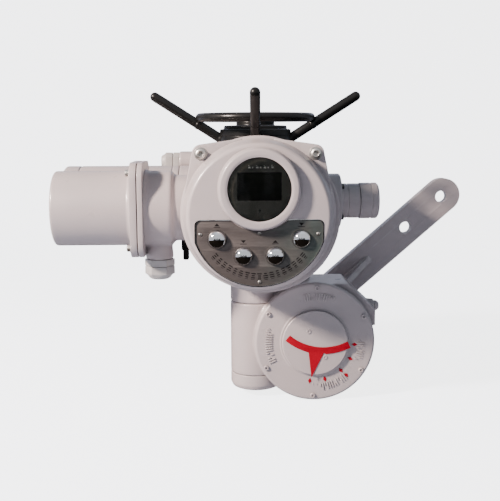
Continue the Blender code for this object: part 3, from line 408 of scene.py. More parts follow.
def lathe(name, profile, origin, facing, material=None, steps=96, ring=False, soft=0.0008):
    """Turns (radius, height) points about local z; a point with a third item is hexagonal."""
    points = rounded(profile, soft) if soft else profile
    bm = bmesh.new()
    rows = []
    for point in points:
        radius, height = point[0], point[1]
        if radius < 1e-6:
            rows.append([bm.verts.new((0.0, 0.0, height))])
            continue
        row = []
        for i in range(steps):
            angle = 2 * math.pi * i / steps
            reach = radius * hexed(angle) if len(point) > 2 else radius
            row.append(bm.verts.new((reach * math.cos(angle), reach * math.sin(angle), height)))
        rows.append(row)
    if ring:
        rows.append(rows[0])
    for upper, lower in zip(rows, rows[1:]):
        for i in range(steps):
            j = (i + 1) % steps
            top, bottom = len(upper), len(lower)
            corners = [upper[i % top], upper[j % top], lower[j % bottom], lower[i % bottom]]
            corners = list(dict.fromkeys(corners))
            if len(corners) > 2:
                bm.faces.new(corners)
    bmesh.ops.remove_doubles(bm, verts=bm.verts, dist=1e-6)
    bmesh.ops.recalc_face_normals(bm, faces=bm.faces)
    mesh = bpy.data.meshes.new(name)
    bm.to_mesh(mesh)
    bm.free()
    mesh.transform(Matrix.Translation(origin) @ facing.to_4x4())
    return new_object(name, mesh, material)


def bake(obj):
    """Applies the object's modifiers."""
    bpy.context.view_layer.update()
    evaluated = obj.evaluated_get(bpy.context.evaluated_depsgraph_get())
    mesh = bpy.data.meshes.new_from_object(evaluated)
    obj.modifiers.clear()
    obj.data = mesh
    return obj


def ease(obj, width, segments=3, limit=40):
    """Rounds an object's sharp edges."""
    bevel = obj.modifiers.new("Ease", "BEVEL")
    bevel.width = width
    bevel.segments = segments
    bevel.limit_method = "ANGLE"
    bevel.angle_limit = math.radians(limit)
    bevel.harden_normals = False
    bake(obj)
    obj.data.shade_smooth()
    obj.data.set_sharp_from_angle(angle=math.radians(35))
    return obj


def slab(name, outlines, thickness, origin, facing, material=None, edge=0.0008):
    """Extrudes an outline, and holes after it, from local z = 0, with rounded edges."""
    curve = bpy.data.curves.new(name, "CURVE")
    curve.dimensions = "2D"
    curve.fill_mode = "BOTH"
    curve.extrude = thickness / 2
    for outline in outlines:
        spline = curve.splines.new("POLY")
        spline.points.add(len(outline) - 1)
        for point, (x, y) in zip(spline.points, outline):
            point.co = (x, y, 0.0, 1.0)
        spline.use_cyclic_u = True
    holder = bpy.data.objects.new(name + "_outline", curve)
    bpy.context.scene.collection.objects.link(holder)
    bpy.context.view_layer.update()
    evaluated = holder.evaluated_get(bpy.context.evaluated_depsgraph_get())
    mesh = bpy.data.meshes.new_from_object(evaluated)
    bpy.data.objects.remove(holder, do_unlink=True)
    bm = bmesh.new()
    bm.from_mesh(mesh)
    bmesh.ops.remove_doubles(bm, verts=bm.verts, dist=1e-6)
    bmesh.ops.recalc_face_normals(bm, faces=bm.faces)
    bm.to_mesh(mesh)
    bm.free()
    mesh.transform(Matrix.Translation((0.0, 0.0, thickness / 2)))
    mesh.transform(Matrix.Translation(origin) @ facing.to_4x4())
    obj = new_object(name, mesh, material)
    return ease(obj, edge) if edge else obj


def block(name, low, high, origin, facing, material=None, edge=0.001):
    low, high = Vector(low), Vector(high)
    bm = bmesh.new()
    bmesh.ops.create_cube(bm, size=1.0)
    bmesh.ops.scale(bm, verts=bm.verts, vec=high - low)
    bmesh.ops.translate(bm, verts=bm.verts, vec=(low + high) / 2)
    mesh = bpy.data.meshes.new(name)
    bm.to_mesh(mesh)
    bm.free()
    mesh.transform(Matrix.Translation(origin) @ facing.to_4x4())
    obj = new_object(name, mesh, material)
    return ease(obj, edge) if edge else obj


def arc(radius, start, end, steps, centre=(0.0, 0.0)):
    span = [start + (end - start) * i / steps for i in range(steps + 1)]
    return [(centre[0] + radius * math.cos(a), centre[1] + radius * math.sin(a)) for a in span]


def circle(radius, steps=64, centre=(0.0, 0.0)):
    return arc(radius, 0.0, 2 * math.pi, steps, centre)[:-1]


def carve(obj, *tools):
    """Cuts tools away from an object and deletes them."""
    for tool in tools:
        cut = obj.modifiers.new("Carve", "BOOLEAN")
        cut.object = tool
        cut.operation = "DIFFERENCE"
        cut.solver = "EXACT"
    bake(obj)
    for tool in tools:
        bpy.data.objects.remove(tool, do_unlink=True)
    obj.data.shade_smooth()
    obj.data.set_sharp_from_angle(angle=math.radians(35))
    return obj


def merge(name, objs, material=None):
    """Joins objects into one mesh with this name."""
    bm = bmesh.new()
    for obj in objs:
        bm.from_mesh(obj.data)
    mesh = bpy.data.meshes.new(name)
    bm.to_mesh(mesh)
    bm.free()
    material = material or objs[0].data.materials[0]
    for obj in objs:
        bpy.data.objects.remove(obj, do_unlink=True)
    return new_object(name, mesh, material, 35)


def casting(name, objs, voxel, passes, material=None):
    """Melts overlapping shapes into one casting with small fillets in its corners.

    The casting is solid, without the cavities and bores of its CAD node.
    """
    obj = merge(name, objs, material or PAINT)
    remesh = obj.modifiers.new("Melt", "REMESH")
    remesh.mode = "VOXEL"
    remesh.voxel_size = voxel
    remesh.use_smooth_shade = True
    smooth = obj.modifiers.new("Smooth", "SMOOTH")
    smooth.factor = 0.5
    smooth.iterations = passes
    bake(obj)
    obj.data.shade_smooth()
    return obj


def keep(obj, body, slot, *nodes):
    """Puts a finished piece on its body and hides the CAD nodes it stands for. The slot argument is not used.
    """
    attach(obj, body)
    if nodes:
        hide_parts(*nodes)
    return obj


# ---- fasteners ---------------------------------------------------------------------------
def socket_screw(name, radius, height, length, origin, facing, node=None, washer=True, material=None):
    """A socket head cap screw with its hexagon socket and washer."""
    pocket = radius * 0.50
    profile = [
        (0.0, height * 0.40),
        (pocket, height * 0.40, True),
        (pocket, height, True),
        (radius * 0.72, height),
        (radius, height * 0.86),
        (radius, 0.0),
        (radius * 0.55, 0.0),
        (radius * 0.55, -length),
        (0.0, -length),
    ]
    screw = lathe(name, profile, origin, facing, material or ZINC, 48, soft=radius * 0.06)
    keep(screw, "housing", "zinc_steel", *([node] if node else []))
    if washer:
        ring = [(radius * 0.6, 0.0011), (radius * 1.32, 0.0009), (radius * 1.34, 0.0), (radius * 0.6, 0.0)]
        plate = lathe(name + "_washer", ring, origin, facing, material or ZINC, 48, True, 0.0002)
        keep(plate, "housing", "zinc_steel")


def slot_screw(name, radius, height, origin, facing, turn, material, node=None):
    """A domed screw with a straight driver slot."""
    profile = [(0.0, height), (radius * 0.5, height * 0.92), (radius * 0.85, height * 0.6), (radius, 0.0)]
    profile += [(radius * 0.5, -0.0002), (radius * 0.5, -0.005), (0.0, -0.005)]
    screw = lathe(name, profile, origin, facing, material, 40, soft=0.0002)
    spin = facing @ Matrix.Rotation(turn, 3, "Z")
    low, high = (-radius * 1.2, -radius * 0.12, height * 0.45), (radius * 1.2, radius * 0.12, height * 2)
    carve(screw, block(name + "_slot", low, high, origin, spin, None, 0.0))
    return keep(screw, "housing", "zinc_steel", *([node] if node else []))


# ---- main housing ------------------------------------------------------------------------
def ear_outline(side):
    """The lobe around an upper cover screw, tangent to the round flange."""
    reach, centre = math.hypot(EAR_X, EAR_Z), math.atan2(EAR_Z, EAR_X)
    spread = math.acos((COVER_RADIUS - EAR_RADIUS) / reach) - 0.03
    base = COVER_RADIUS - 0.002
    ends = [(base * math.cos(centre + s * spread), base * math.sin(centre + s * spread)) for s in (-1, 1)]
    lobe = arc(EAR_RADIUS, centre - spread, centre + spread, 32, (EAR_X, EAR_Z))
    points = [ends[0], *lobe, ends[1], (0.5 * EAR_X, 0.5 * EAR_Z)]
    return [(side * x, z) for x, z in points][::side]


def rounded_rectangle(width, height, corner):
    points = []
    for i, (u, v) in enumerate(((1, 1), (-1, 1), (-1, -1), (1, -1))):
        centre = (u * (width / 2 - corner), v * (height / 2 - corner))
        points += arc(corner, i * math.pi / 2, (i + 1) * math.pi / 2, 10, centre)
    return points


def housing_tower():
    column = COLUMN_RADIUS
    profile = [
        (0.0, 0.290),
        (0.058, 0.290),
        (0.058, 0.104),
        (0.050, 0.092),
        (column, 0.086),
        (column, 0.0565),
        (0.0, 0.0565),
    ]
    return lathe("tower", profile, at(0, 0, 0), UP, soft=0.002)


def housing_drum():
    """The round drum behind the control cover, milled flat on top for the handwheel."""
    radius, x, z, top = 0.111, 0.008, 0.196, 0.300
    tip = math.asin((top - z) / radius)
    outline = arc(radius, math.pi - tip, 2 * math.pi + tip, 120, (x, z))
    drum = slab("drum", [outline], 0.053, at(0, -0.041, 0), FRONT, None, 0.003)
    pockets = []
    for side in (-1, 1):
        spot = at(side * LOWER_SCREW, 0, COVER_Z - LOWER_SCREW)
        pocket = [(0.0, 0.0862), (0.0100, 0.0862), (0.0100, 0.03), (0.0, 0.03)]
        pockets.append(lathe("pocket", pocket, spot, FRONT, soft=0))
    room = [(0.0, 0.32), (0.066, 0.32), (0.066, 0.2902), (0.0, 0.2902)]
    hub = lathe("hub_room", room, at(0, 0, 0), UP, soft=0)
    return carve(drum, hub, *pockets)


def housing_cross_tube():
    right = local_box("spring_pack_housing")[0].x
    left = local_box("motor_housing")[1].x
    profile = [
        (0.0, right),
        (0.047, right),
        (0.047, -0.096),
        (0.058, -0.103),
        (0.058, left + 0.0002),
        (0.0, left + 0.0002),
    ]
    return lathe("cross_tube", profile, at(0, WORM.y, WORM.z), RIGHT, soft=0.002)


def housing_bosses():
    power = middle("power_gland_body")
    signal = middle("signal_gland_body")
    bosses = [
        lathe("power_boss", [(0.0, 0.172), (0.0175, 0.172), (0.0205, 0.137), (0.0200, 0.132), (0.0, 0.132)],
              Vector((power.x, power.y, DRIVE.z)), UP, soft=0.001),
        lathe("signal_boss", [(0.0, 0.122), (0.0165, 0.122), (0.0165, 0.080), (0.0, 0.080)],
              Vector((DRIVE.x, signal.y, signal.z)), LEFT, soft=0.001),
        lathe("lever_boss", [(0.0, 0.0), (0.0105, 0.0), (0.0125, -0.040), (0.0, -0.040)],
              LEVER_PIVOT, LEFT, soft=0.001),
    ]
    return bosses


def main_housing():
    axis = at(0, TERMINAL.y, TERMINAL.z)
    neck = [
        (0.0, 0.164),
        (0.058, 0.164),
        (TERMINAL_RADIUS, 0.158),
        (TERMINAL_RADIUS, 0.1235),
        (0.0480, 0.1195),
        (0.0480, 0.055),
        (0.0, 0.055),
    ]
    neck = lathe("neck", neck, axis, LEFT, soft=0.003)
    back_low, back_high = (-0.100, -0.02, 0.165), (0.072, 0.118, 0.286)
    back_block = block("back_block", back_low, back_high, at(0, 0, 0), UP, None, 0.012)
    shapes = [housing_tower(), housing_drum(), housing_cross_tube(), neck, back_block, *housing_bosses()]
    body = casting("housing_casting", shapes, 0.0016, 5)
    keep(body, "housing", "grey_enamel", "main_housing")
    ring = [
        (0.092, 0.1030),
        (COVER_RADIUS - 0.0005, 0.1030),
        (COVER_RADIUS - 0.0005, 0.0930),
        (0.092, 0.0930),
    ]
    parts = [lathe("housing_ring", ring, at(0, 0, COVER_Z), FRONT, SMOOTH_PAINT, 160, True, 0.0012)]
    for side in (-1, 1):
        seat = at(0, -SCREW_SEAT, COVER_Z)
        parts.append(slab("ear", [ear_outline(side)], 0.017, seat, FRONT, SMOOTH_PAINT, 0.0012))
    keep(merge("housing_cover_seat", parts), "housing", "grey_enamel")
    joint = axis + Vector((local_box("terminal_cover")[1].x + 0.0085, 0, 0))
    flange = slab("housing_terminal_flange", [rounded_rectangle(0.135, 0.120, 0.025)], 0.007,
                  joint, LEFT, SMOOTH_PAINT, 0.0018)
    keep(flange, "housing", "grey_enamel")
    bearing = [(0.0195, 0.295), (0.056, 0.295), (0.056, 0.2903), (0.0195, 0.2903)]
    cover = lathe("top_bearing_cover_look", bearing, at(0, 0, 0), UP, SMOOTH_PAINT, 96, True, 0.0012)
    keep(cover, "housing", "grey_enamel", "top_bearing_cover")


# ---- control cover and controls ----------------------------------------------------------
def plate_outline(margin, steps=64):
    half = PLATE_HALF_WIDTH + margin
    top = PLATE_TOP - COVER_Z + margin
    corner = 0.008
    radius = PLATE_ARC_RADIUS + margin
    low = math.asin(-math.sqrt(radius**2 - half**2) / radius)
    lower_arc = arc(radius, low, -math.pi - low, steps, (0.0, PLATE_ARC_Z - COVER_Z))
    corners = arc(corner, math.pi, math.pi / 2, 8, (corner - half, top - corner))
    corners += arc(corner, math.pi / 2, 0.0, 8, (half - corner, top - corner))
    return lower_arc + corners


def window_cylinder(radius, start, end):
    profile = [(0.0, end), (radius, end), (radius, start), (0.0, start)]
    return lathe("window_cutter", profile, at(0, 0, WINDOW_Z), FRONT, None, 128, soft=0)


def button_places():
    return [middle(f"push_button_{i}") - DRIVE for i in range(1, 5)]


def button_cutters():
    cutters = []
    for place in button_places():
        profile = [(0.0, 0.170), (0.0136, 0.170), (0.0136, 0.130), (0.0, 0.130)]
        cutters.append(lathe("button_cutter", profile, at(place.x, 0, place.z), FRONT, None, 64, soft=0))
    return cutters


def control_cover():
    face, back = COVER_FACE, COVER_BACK
    profile = [
        (0.0, face),
        (0.0965, face),
        (0.1005, face - 0.004),
        (0.1055, face - 0.030),
        (0.1065, face - 0.0345),
        (COVER_RADIUS, face - 0.0365),
        (COVER_RADIUS, back),
        (0.092, back),
        (0.092, 0.142),
        (0.0, 0.142),
    ]
    cover = lathe("control_cover_look", profile, at(0, 0, COVER_Z), FRONT, SMOOTH_PAINT, 192, soft=0.0032)
    recess = slab("recess", [plate_outline(0.0004)], 0.010, at(0, -face + 0.0025, COVER_Z), FRONT, None, 0)
    carve(cover, recess, window_cylinder(0.036, 0.130, 0.170), *button_cutters())
    keep(cover, "housing", "grey_enamel", "control_cover")
    inner = 0.0436
    bezel = [
        (inner, BEZEL_FRONT - 0.0010),
        (inner + 0.0030, BEZEL_FRONT),
        (0.0545, BEZEL_FRONT - 0.0002),
        (0.0575, face - 0.001),
        (0.0578, face - 0.003),
        (inner, face - 0.003),
    ]
    ring = lathe("window_bezel", bezel, at(0, 0, WINDOW_Z), FRONT, SMOOTH_PAINT, 160, True, 0.0028)
    keep(ring, "housing", "grey_enamel")
    ears = []
    for side in (-1, 1):
        ears.append(slab("ear", [ear_outline(side)], EAR_FRONT - back,
                         at(0, -back, COVER_Z), FRONT, SMOOTH_PAINT, 0.0016))
    keep(merge("control_cover_ears", ears), "housing", "grey_enamel")
    for number, side in ((1, -1), (2, 1)):
        spot = at(side * EAR_X, -EAR_FRONT, COVER_Z + EAR_Z)
        socket_screw(f"cover_screw_{number}_look", 0.0068, 0.008, 0.022, spot, FRONT, f"cover_screw_{number}")
    for number, side in ((3, -1), (4, 1)):
        spot = at(side * LOWER_SCREW, -SCREW_SEAT, COVER_Z - LOWER_SCREW)
        socket_screw(f"cover_screw_{number}_look", 0.0068, 0.008, 0.024, spot, BACK, f"cover_screw_{number}")


def display():
    low, _ = local_box("window_glass")
    centre = at(0, 0, WINDOW_Z)
    front = -low.y
    pane = [
        (0.0, front),
        (0.0431, front),
        (0.0434, front - 0.0008),
        (0.0434, front - 0.0020),
        (0.0, front - 0.0020),
    ]
    glass = lathe("window_glass_look", pane, centre, FRONT, GLASS, 128, soft=0.0004)
    keep(glass, "housing", "window_glass", "window_glass")
    face = 0.1574
    disc = [(0.0, face), (0.0434, face), (0.0434, 0.1528), (0.0, 0.1528)]
    surround = lathe("display_surround", disc, centre, FRONT, DISPLAY_GREY, 128, soft=0.0003)
    keep(surround, "housing", "black_plastic", "display_module")
    panel = slab("display_panel", [rounded_rectangle(0.060, 0.038, 0.0010)], 0.0008,
                 centre + Vector((0, -face, 0.004)), FRONT, DISPLAY_BLACK, 0.0002)
    keep(panel, "housing", "black_plastic")
    marks = []
    for i, width in enumerate((0.0030, 0.0016, 0.0034, 0.0022, 0.0028, 0.0016, 0.0030)):
        x = -0.015 + i * 0.0052
        marks.append(block("mark", (x, 0.0, 0.0), (x + width, 0.0022, 0.0002),
                           centre + Vector((0, -face - 0.0004, 0.0285)), FRONT, LEGEND, 0))
        if i % 2 == 0:
            marks.append(block("mark", (x, 0.0034, 0.0), (x + 0.0014, 0.0042, 0.0002),
                               centre + Vector((0, -face - 0.0004, 0.0285)), FRONT, LEGEND, 0))
    keep(merge("display_legend", marks), "housing", "black_plastic")
    lamp = [(0.0, 0.0009), (0.0011, 0.0007), (0.0015, 0.0), (0.0, 0.0)]
    spot = centre + Vector((0, -face - 0.0003, -0.029))
    lamp = lathe("status_lamp", lamp, spot, FRONT, LAMP, 32, soft=0.0002)
    keep(lamp, "housing", "black_plastic")


def control_plate():
    holes = [circle(0.0135, 64, (p.x, p.z - COVER_Z)) for p in button_places()]
    plate = slab("control_plate_look", [plate_outline(0.0), *holes], 0.0015,
                 at(0, -PLATE_FRONT + 0.0015, COVER_Z), FRONT, PLATE, 0)
    carve(plate, window_cylinder(BEZEL_CLEAR, 0.130, 0.170))
    ease(plate, 0.0003, 2)
    keep(plate, "housing", "brushed_plate", "control_plate")
    rim = slab("plate_rim", [plate_outline(0.0014), plate_outline(0.0002)], 0.0012,
               at(0, -COVER_FACE + 0.0006, COVER_Z), FRONT, RIM_METAL, 0)
    carve(rim, window_cylinder(BEZEL_CLEAR - 0.0006, 0.130, 0.170))
    ease(rim, 0.0004, 2)
    keep(rim, "housing", "brushed_plate")
    for i in range(1, 5):
        place = middle(f"plate_screw_{i}")
        spot = Vector((place.x, DRIVE.y - PLATE_FRONT, place.z))
        node = f"plate_screw_{i}"
        slot_screw(node + "_look", 0.0026, 0.0012, spot, FRONT, 0.5 + i * 0.8, ZINC, node)


def plate_marks():
    """Etched tick groups: generic strokes along the lower edge and beside the buttons."""
    rng = random.Random(7)
    marks = []
    centre = at(0, -PLATE_FRONT, PLATE_ARC_Z)
    groups = 17
    for i in range(groups):
        angle = math.radians(-140 + 100 * i / (groups - 1))
        turn = FRONT @ Matrix.Rotation(angle + math.pi / 2, 3, "Z")
        place = centre + FRONT @ Vector((0.0790 * math.cos(angle), 0.0790 * math.sin(angle), 0.0))
        for row in (-0.0030, 0.0, 0.0030):
            half = rng.choice((0.0020, 0.0027, 0.0031))
            low, high = (-half, row - 0.0007, 0), (half, row + 0.0007, 0.00012)
            marks.append(block("mark", low, high, place, turn, INK, 0))
        small = centre + FRONT @ Vector((0.0845 * math.cos(angle), 0.0845 * math.sin(angle), 0.0))
        marks.append(block("mark", (-0.0022, -0.0003, 0), (0.0022, 0.0003, 0.00012), small, turn, INK, 0))
    for i, place in enumerate(button_places()):
        over = at(place.x, -PLATE_FRONT, place.z + 0.0185)
        arrow = [(-0.0035, 0.0), (0.0035, 0.0), (0.0, 0.0038)]
        if i % 2:
            arrow = [(x, 0.0038 - y) for x, y in reversed(arrow)]
        marks.append(slab("mark", [arrow], 0.00012, over, FRONT, INK, 0))
        marks.append(block("mark", (-0.0045, -0.0018, 0), (0.0045, -0.0010, 0.00012), over, FRONT, INK, 0))
    keep(merge("plate_marks", marks, INK), "housing", "brushed_plate")


def push_buttons():
    dome = math.radians(80)
    for i in range(1, 5):
        low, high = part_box(f"push_button_{i}")
        centre = Vector(((low.x + high.x) / 2, DRIVE.y, (low.z + high.z) / 2))
        crown = DRIVE.y - low.y
        base = DRIVE.y - high.y
        profile = [(0.0, crown)]
        for step in range(1, 9):
            angle = step / 8 * dome
            profile.append((0.0130 * math.sin(angle) / math.sin(dome),
                            crown - 0.0088 * (1 - math.cos(angle)) / (1 - math.cos(dome))))
        profile += [
            (0.0130, crown - 0.0100),
            (0.0130, 0.1417),
            (0.0150, 0.1417),
            (0.0150, 0.1395),
            (0.0050, 0.1395),
            (0.0050, base),
            (0.0, base),
        ]
        button = lathe(f"push_button_{i}_look", profile, centre, FRONT, CHROME, 80, soft=0.0004)
        keep(button, f"button_{i}", "chrome", f"push_button_{i}")
        sleeve = [(0.01315, 0.1492), (0.0149, 0.1490), (0.0149, 0.1478), (0.01315, 0.1478)]
        ring = lathe(f"button_seal_{i}", sleeve, centre, FRONT, RUBBER, 64, True, 0.0003)
        keep(ring, "housing", "rubber")


# ---- terminal compartment and glands -----------------------------------------------------
def terminal_compartment():
    axis = at(0, TERMINAL.y, TERMINAL.z)
    low, high = local_box("terminal_cover")
    joint, end, radius = -high.x, -low.x, TERMINAL_RADIUS
    can = [
        (0.0, end),
        (radius * 0.55, end),
        (radius, end - 0.0005),
        (radius, joint + 0.0135),
        (radius + 0.0040, joint + 0.0090),
        (radius + 0.0040, joint + 0.004),
        (0.046, joint + 0.004),
        (0.046, end - 0.006),
        (0.0, end - 0.006),
    ]
    shell = lathe("can", can, axis, LEFT, SMOOTH_PAINT, 128, soft=0.0042)
    flange = slab("flange", [rounded_rectangle(0.135, 0.120, 0.025)], 0.0095,
                  axis + Vector((-joint, 0, 0)), LEFT, SMOOTH_PAINT, 0.0018)
    keep(merge("terminal_cover_look", [shell, flange]), "housing", "grey_enamel", "terminal_cover")
    for i in range(1, 5):
        bolt = middle(f"terminal_bolt_{i}")
        spot = Vector((DRIVE.x - joint - 0.0096, bolt.y, bolt.z))
        socket_screw(f"terminal_bolt_{i}_look", 0.0050, 0.006, 0.018, spot, LEFT, f"terminal_bolt_{i}")


def cable_gland(prefix, size, origin, facing):
    """Hexagonal body, compression nut and its blank disc."""
    bore = size * 0.55
    body = [
        (bore, 0.010),
        (size * 0.98, 0.010, True),
        (size * 0.98, 0.0003, True),
        (bore, 0.0003),
    ]
    base = lathe(prefix + "_gland_body_look", body, origin, facing, NYLON, 96, True, 0.0008)
    keep(base, "housing", "grey_nylon", prefix + "_gland_body")
    nut = [
        (bore, 0.0290),
        (size * 0.62, 0.0300),
        (size * 0.80, 0.0280),
        (size * 0.92, 0.0245),
        (size * 0.98, 0.0215, True),
        (size * 0.97, 0.0108, True),
        (size * 0.80, 0.0103),
        (bore, 0.0103),
    ]
    cap = lathe(prefix + "_gland_nut_look", nut, origin, facing, NYLON, 96, True, 0.0010)
    keep(cap, "housing", "grey_nylon", prefix + "_gland_nut")
    seal = [(0.0, 0.0265), (bore, 0.0262), (bore, 0.0240), (0.0, 0.0240)]
    plug = lathe(prefix + "_gland_plug", seal, origin, facing, RUBBER, 64, soft=0.0008)
    keep(plug, "housing", "rubber")


def glands():
    power = middle("power_gland_body")
    boss_end = 0.132
    cable_gland("power", 0.0195, Vector((power.x, power.y, DRIVE.z + boss_end)), DOWN)
    signal = middle("signal_gland_body")
    cable_gland("signal", 0.0130, Vector((DRIVE.x - 0.122, signal.y, signal.z)), LEFT)


# ---- motor and spring pack ---------------------------------------------------------------
def motor():
    axis = at(0, WORM.y, WORM.z)
    low, high = local_box("motor_housing")
    face, end, radius = -high.x, -low.x, (high.z - low.z) / 2
    can = [
        (0.0, end),
        (radius * 0.82, end),
        (radius, end - 0.009),
        (radius, end - 0.030),
        (radius - 0.0012, end - 0.0308),
        (radius - 0.0012, end - 0.0325),
        (radius, end - 0.0333),
        (radius, face + 0.012),
        (radius - 0.0012, face + 0.0112),
        (radius - 0.0012, face + 0.0098),
        (radius, face + 0.009),
        (radius, face),
        (0.052, face),
        (0.052, end - 0.007),
        (0.0, end - 0.007),
    ]
    shell = lathe("motor_housing_look", can, axis, LEFT, SMOOTH_PAINT, 128, soft=0.0026)
    keep(shell, "housing", "grey_enamel", "motor_housing")
    for i in range(4):
        angle = math.pi / 4 + i * math.pi / 2
        spot = axis + Vector((-end, 0.036 * math.cos(angle), 0.036 * math.sin(angle)))
        socket_screw(f"motor_screw_{i + 1}", 0.0042, 0.0040, 0.006, spot, LEFT, None, False)


def spring_pack():
    axis = at(0, WORM.y, WORM.z)
    low, high = local_box("spring_pack_housing")
    joint, end = low.x, high.x
    body = [
        (0.020, end),
        (0.028, end),
        (0.028, 0.1510),
        (0.0272, 0.1502),
        (0.0272, 0.1494),
        (0.028, 0.1486),
        (0.028, 0.142),
        (0.030, 0.138),
        (0.042, 0.138),
        (0.044, 0.136),
        (0.044, 0.116),
        (0.047, 0.114),
        (0.047, joint),
        (0.024, joint),
        (0.024, 0.130),
        (0.020, 0.132),
    ]
    shell = lathe("spring_pack_housing_look", body, axis, RIGHT, SMOOTH_PAINT, 128, True, 0.0018)
    keep(shell, "housing", "grey_enamel", "spring_pack_housing")
    low, high = local_box("spring_pack_cap")
    start, tip, radius = low.x, high.x, (high.z - low.z) / 2
    cap = [
        (0.0, tip - 0.0012),
        (0.012, tip - 0.0012),
        (0.014, tip),
        (0.0255, tip),
        (radius, tip - 0.003),
        (radius, tip - 0.0105),
        (radius - 0.0009, tip - 0.0112),
        (radius - 0.0009, tip - 0.0128),
        (radius, tip - 0.0135),
        (radius, start),
        (0.020, start),
        (0.020, tip - 0.005),
        (0.0, tip - 0.005),
    ]
    lid = lathe("spring_pack_cap_look", cap, axis, RIGHT, SMOOTH_PAINT, 128, soft=0.0012)
    keep(lid, "housing", "grey_enamel", "spring_pack_cap")
    for i in range(4):
        angle = math.pi / 4 + math.pi / 2 * i
        spot = axis + Vector((0.138, 0.0345 * math.cos(angle), 0.0345 * math.sin(angle)))
        name = f"spring_pack_screw_{i + 1}"
        socket_screw(name, 0.0042, 0.0042, 0.006, spot, RIGHT, None, False, DARK_STEEL)


# ---- handwheel and declutch lever --------------------------------------------------------
def handwheel():
    low, _ = local_box("handwheel")
    top, bottom = 0.334, low.z
    hub = [
        (0.0, top),
        (0.026, top),
        (0.029, top - 0.002),
        (0.029, top - 0.0075),
        (0.046, top - 0.008),
        (0.048, top - 0.0095),
        (0.048, top - 0.0130),
        (0.0525, top - 0.0135),
        (0.054, top - 0.0150),
        (0.054, bottom + 0.0145),
        (0.0535, bottom + 0.0140),
        (0.054, bottom + 0.0135),
        (0.054, bottom),
        (0.0163, bottom),
        (0.0163, top - 0.003),
        (0.0, top - 0.003),
    ]
    parts = [lathe("hub", hub, at(0, 0, 0), UP, BLACK, 128, soft=0.0010)]
    bar_radius, start, tip, twist = 0.0072, (0.046, 0.302), (0.158, 0.373), math.radians(-2.0)
    run, rise = tip[0] - start[0], tip[1] - start[1]
    length = math.hypot(run, rise)
    nose = arc(bar_radius, math.pi / 2, 0.0, 6, (0.0, length - bar_radius))
    profile = [(0.0, length), *nose[1:], (bar_radius, 0.0), (0.0, 0.0)]
    rim_radius, rim_z, tube = 0.084, 0.338, 0.0066
    for i in range(4):
        turn = twist + i * math.pi / 2
        facing = Euler((0.0, math.atan2(run, rise), turn)).to_matrix()
        root = at(start[0] * math.cos(turn), start[0] * math.sin(turn), start[1])
        parts.append(lathe("bar", profile, root, facing, BLACK, 48, soft=0))
        weld = facing @ Vector((0.0, 0.0, 0.0095))
        bead = [
            (bar_radius - 0.001, 0.004),
            (bar_radius + 0.0004, 0.001),
            (bar_radius + 0.0014, -0.004),
            (bar_radius - 0.001, -0.004),
        ]
        parts.append(lathe("bead", bead, root + weld, facing, BLACK, 48, True, 0.0010))
        along = (rim_radius - start[0]) / run * length
        knot = facing @ Vector((0.0, 0.0, along + 0.003))
        collar = [
            (bar_radius - 0.001, 0.0045),
            (bar_radius + 0.0006, 0.0015),
            (bar_radius + 0.0006, -0.0015),
            (bar_radius - 0.001, -0.0045),
        ]
        parts.append(lathe("collar", collar, root + knot, facing, BLACK, 48, True, 0.0010))
    rim = arc(tube, math.pi / 2, -1.5 * math.pi, 20, (rim_radius, 0.0))[:-1]
    parts.append(lathe("rim", rim, at(0, 0, rim_z), UP, BLACK, 160, True, 0))
    keep(merge("handwheel_look", parts), "drive", "black_enamel", "handwheel")


def declutch_lever():
    pivot = LEVER_PIVOT
    hub = [(0.0, 0.013), (0.0095, 0.013), (0.0095, 0.0004), (0.005, 0.0004), (0.005, -0.014), (0.0, -0.014)]
    shape = lathe("lever_hub", hub, pivot, LEFT, BLACK, 64, soft=0.0012)
    grip = block("lever_grip", (-0.024, -0.0065, 0.002), (0.002, 0.0065, 0.011), pivot, LEFT, BLACK, 0.0025)
    keep(merge("declutch_lever_look", [shape, grip]), "declutch", "black_enamel", "declutch_lever")


# ---- gearbox -----------------------------------------------------------------------------
def case_outline():
    r = GEAR_RADIUS
    top, shoulder, side, foot = 0.0875, 0.052, 0.094, 0.022
    lower = arc(r, math.asin(foot / r), -1.5 * math.pi + 0.30, 96)
    return lower + [(shoulder, top), (side - 0.003, 0.050), (side, 0.047), (side, foot)]


def gearbox_case():
    back, front = 0.047, 0.041
    case = slab("case", [case_outline()], back + front, at(GEAR_X, back, 0), FRONT, None, 0.003)
    column = [(0.0, 0.056), (COLUMN_RADIUS, 0.056), (COLUMN_RADIUS, -0.057), (0.0, -0.057)]
    column = lathe("column", column, at(0, 0, 0), UP, soft=0.0015)
    web = block("web", (0.0, -0.033, -0.040), (0.050, 0.036, 0.046), at(0, 0, 0), UP, None, 0.004)
    side = middle("side_stop_bolt")
    side_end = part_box("gearbox_case")[1].x - DRIVE.x
    top = middle("top_stop_bolt")
    side_profile = [(0.0, side_end), (0.0105, side_end), (0.0125, 0.165), (0.0125, 0.140), (0.0, 0.140)]
    side_boss = lathe("side_boss", side_profile, Vector((DRIVE.x, side.y, side.z)), RIGHT, soft=0.001)
    top_boss = lathe("top_boss", [(0.0, 0.0965), (0.0105, 0.0965), (0.0115, 0.070), (0.0, 0.070)],
                     Vector((top.x, top.y, DRIVE.z)), UP, soft=0.001)
    shape = casting("gearbox_case_casting", [case, column, web, side_boss, top_boss], 0.0014, 4)
    keep(shape, "housing", "grey_enamel", "gearbox_case")
    cap = [
        (0.0, -0.0573),
        (COLUMN_RADIUS, -0.0573),
        (COLUMN_RADIUS, -0.074),
        (COLUMN_RADIUS - 0.003, -0.080),
        (COLUMN_RADIUS - 0.008, -0.082),
        (0.0, -0.082),
    ]
    lid = lathe("column_cap_look", cap, at(0, 0, 0), UP, SMOOTH_PAINT, 96, soft=0.0015)
    keep(lid, "housing", "grey_enamel", "column_cap")


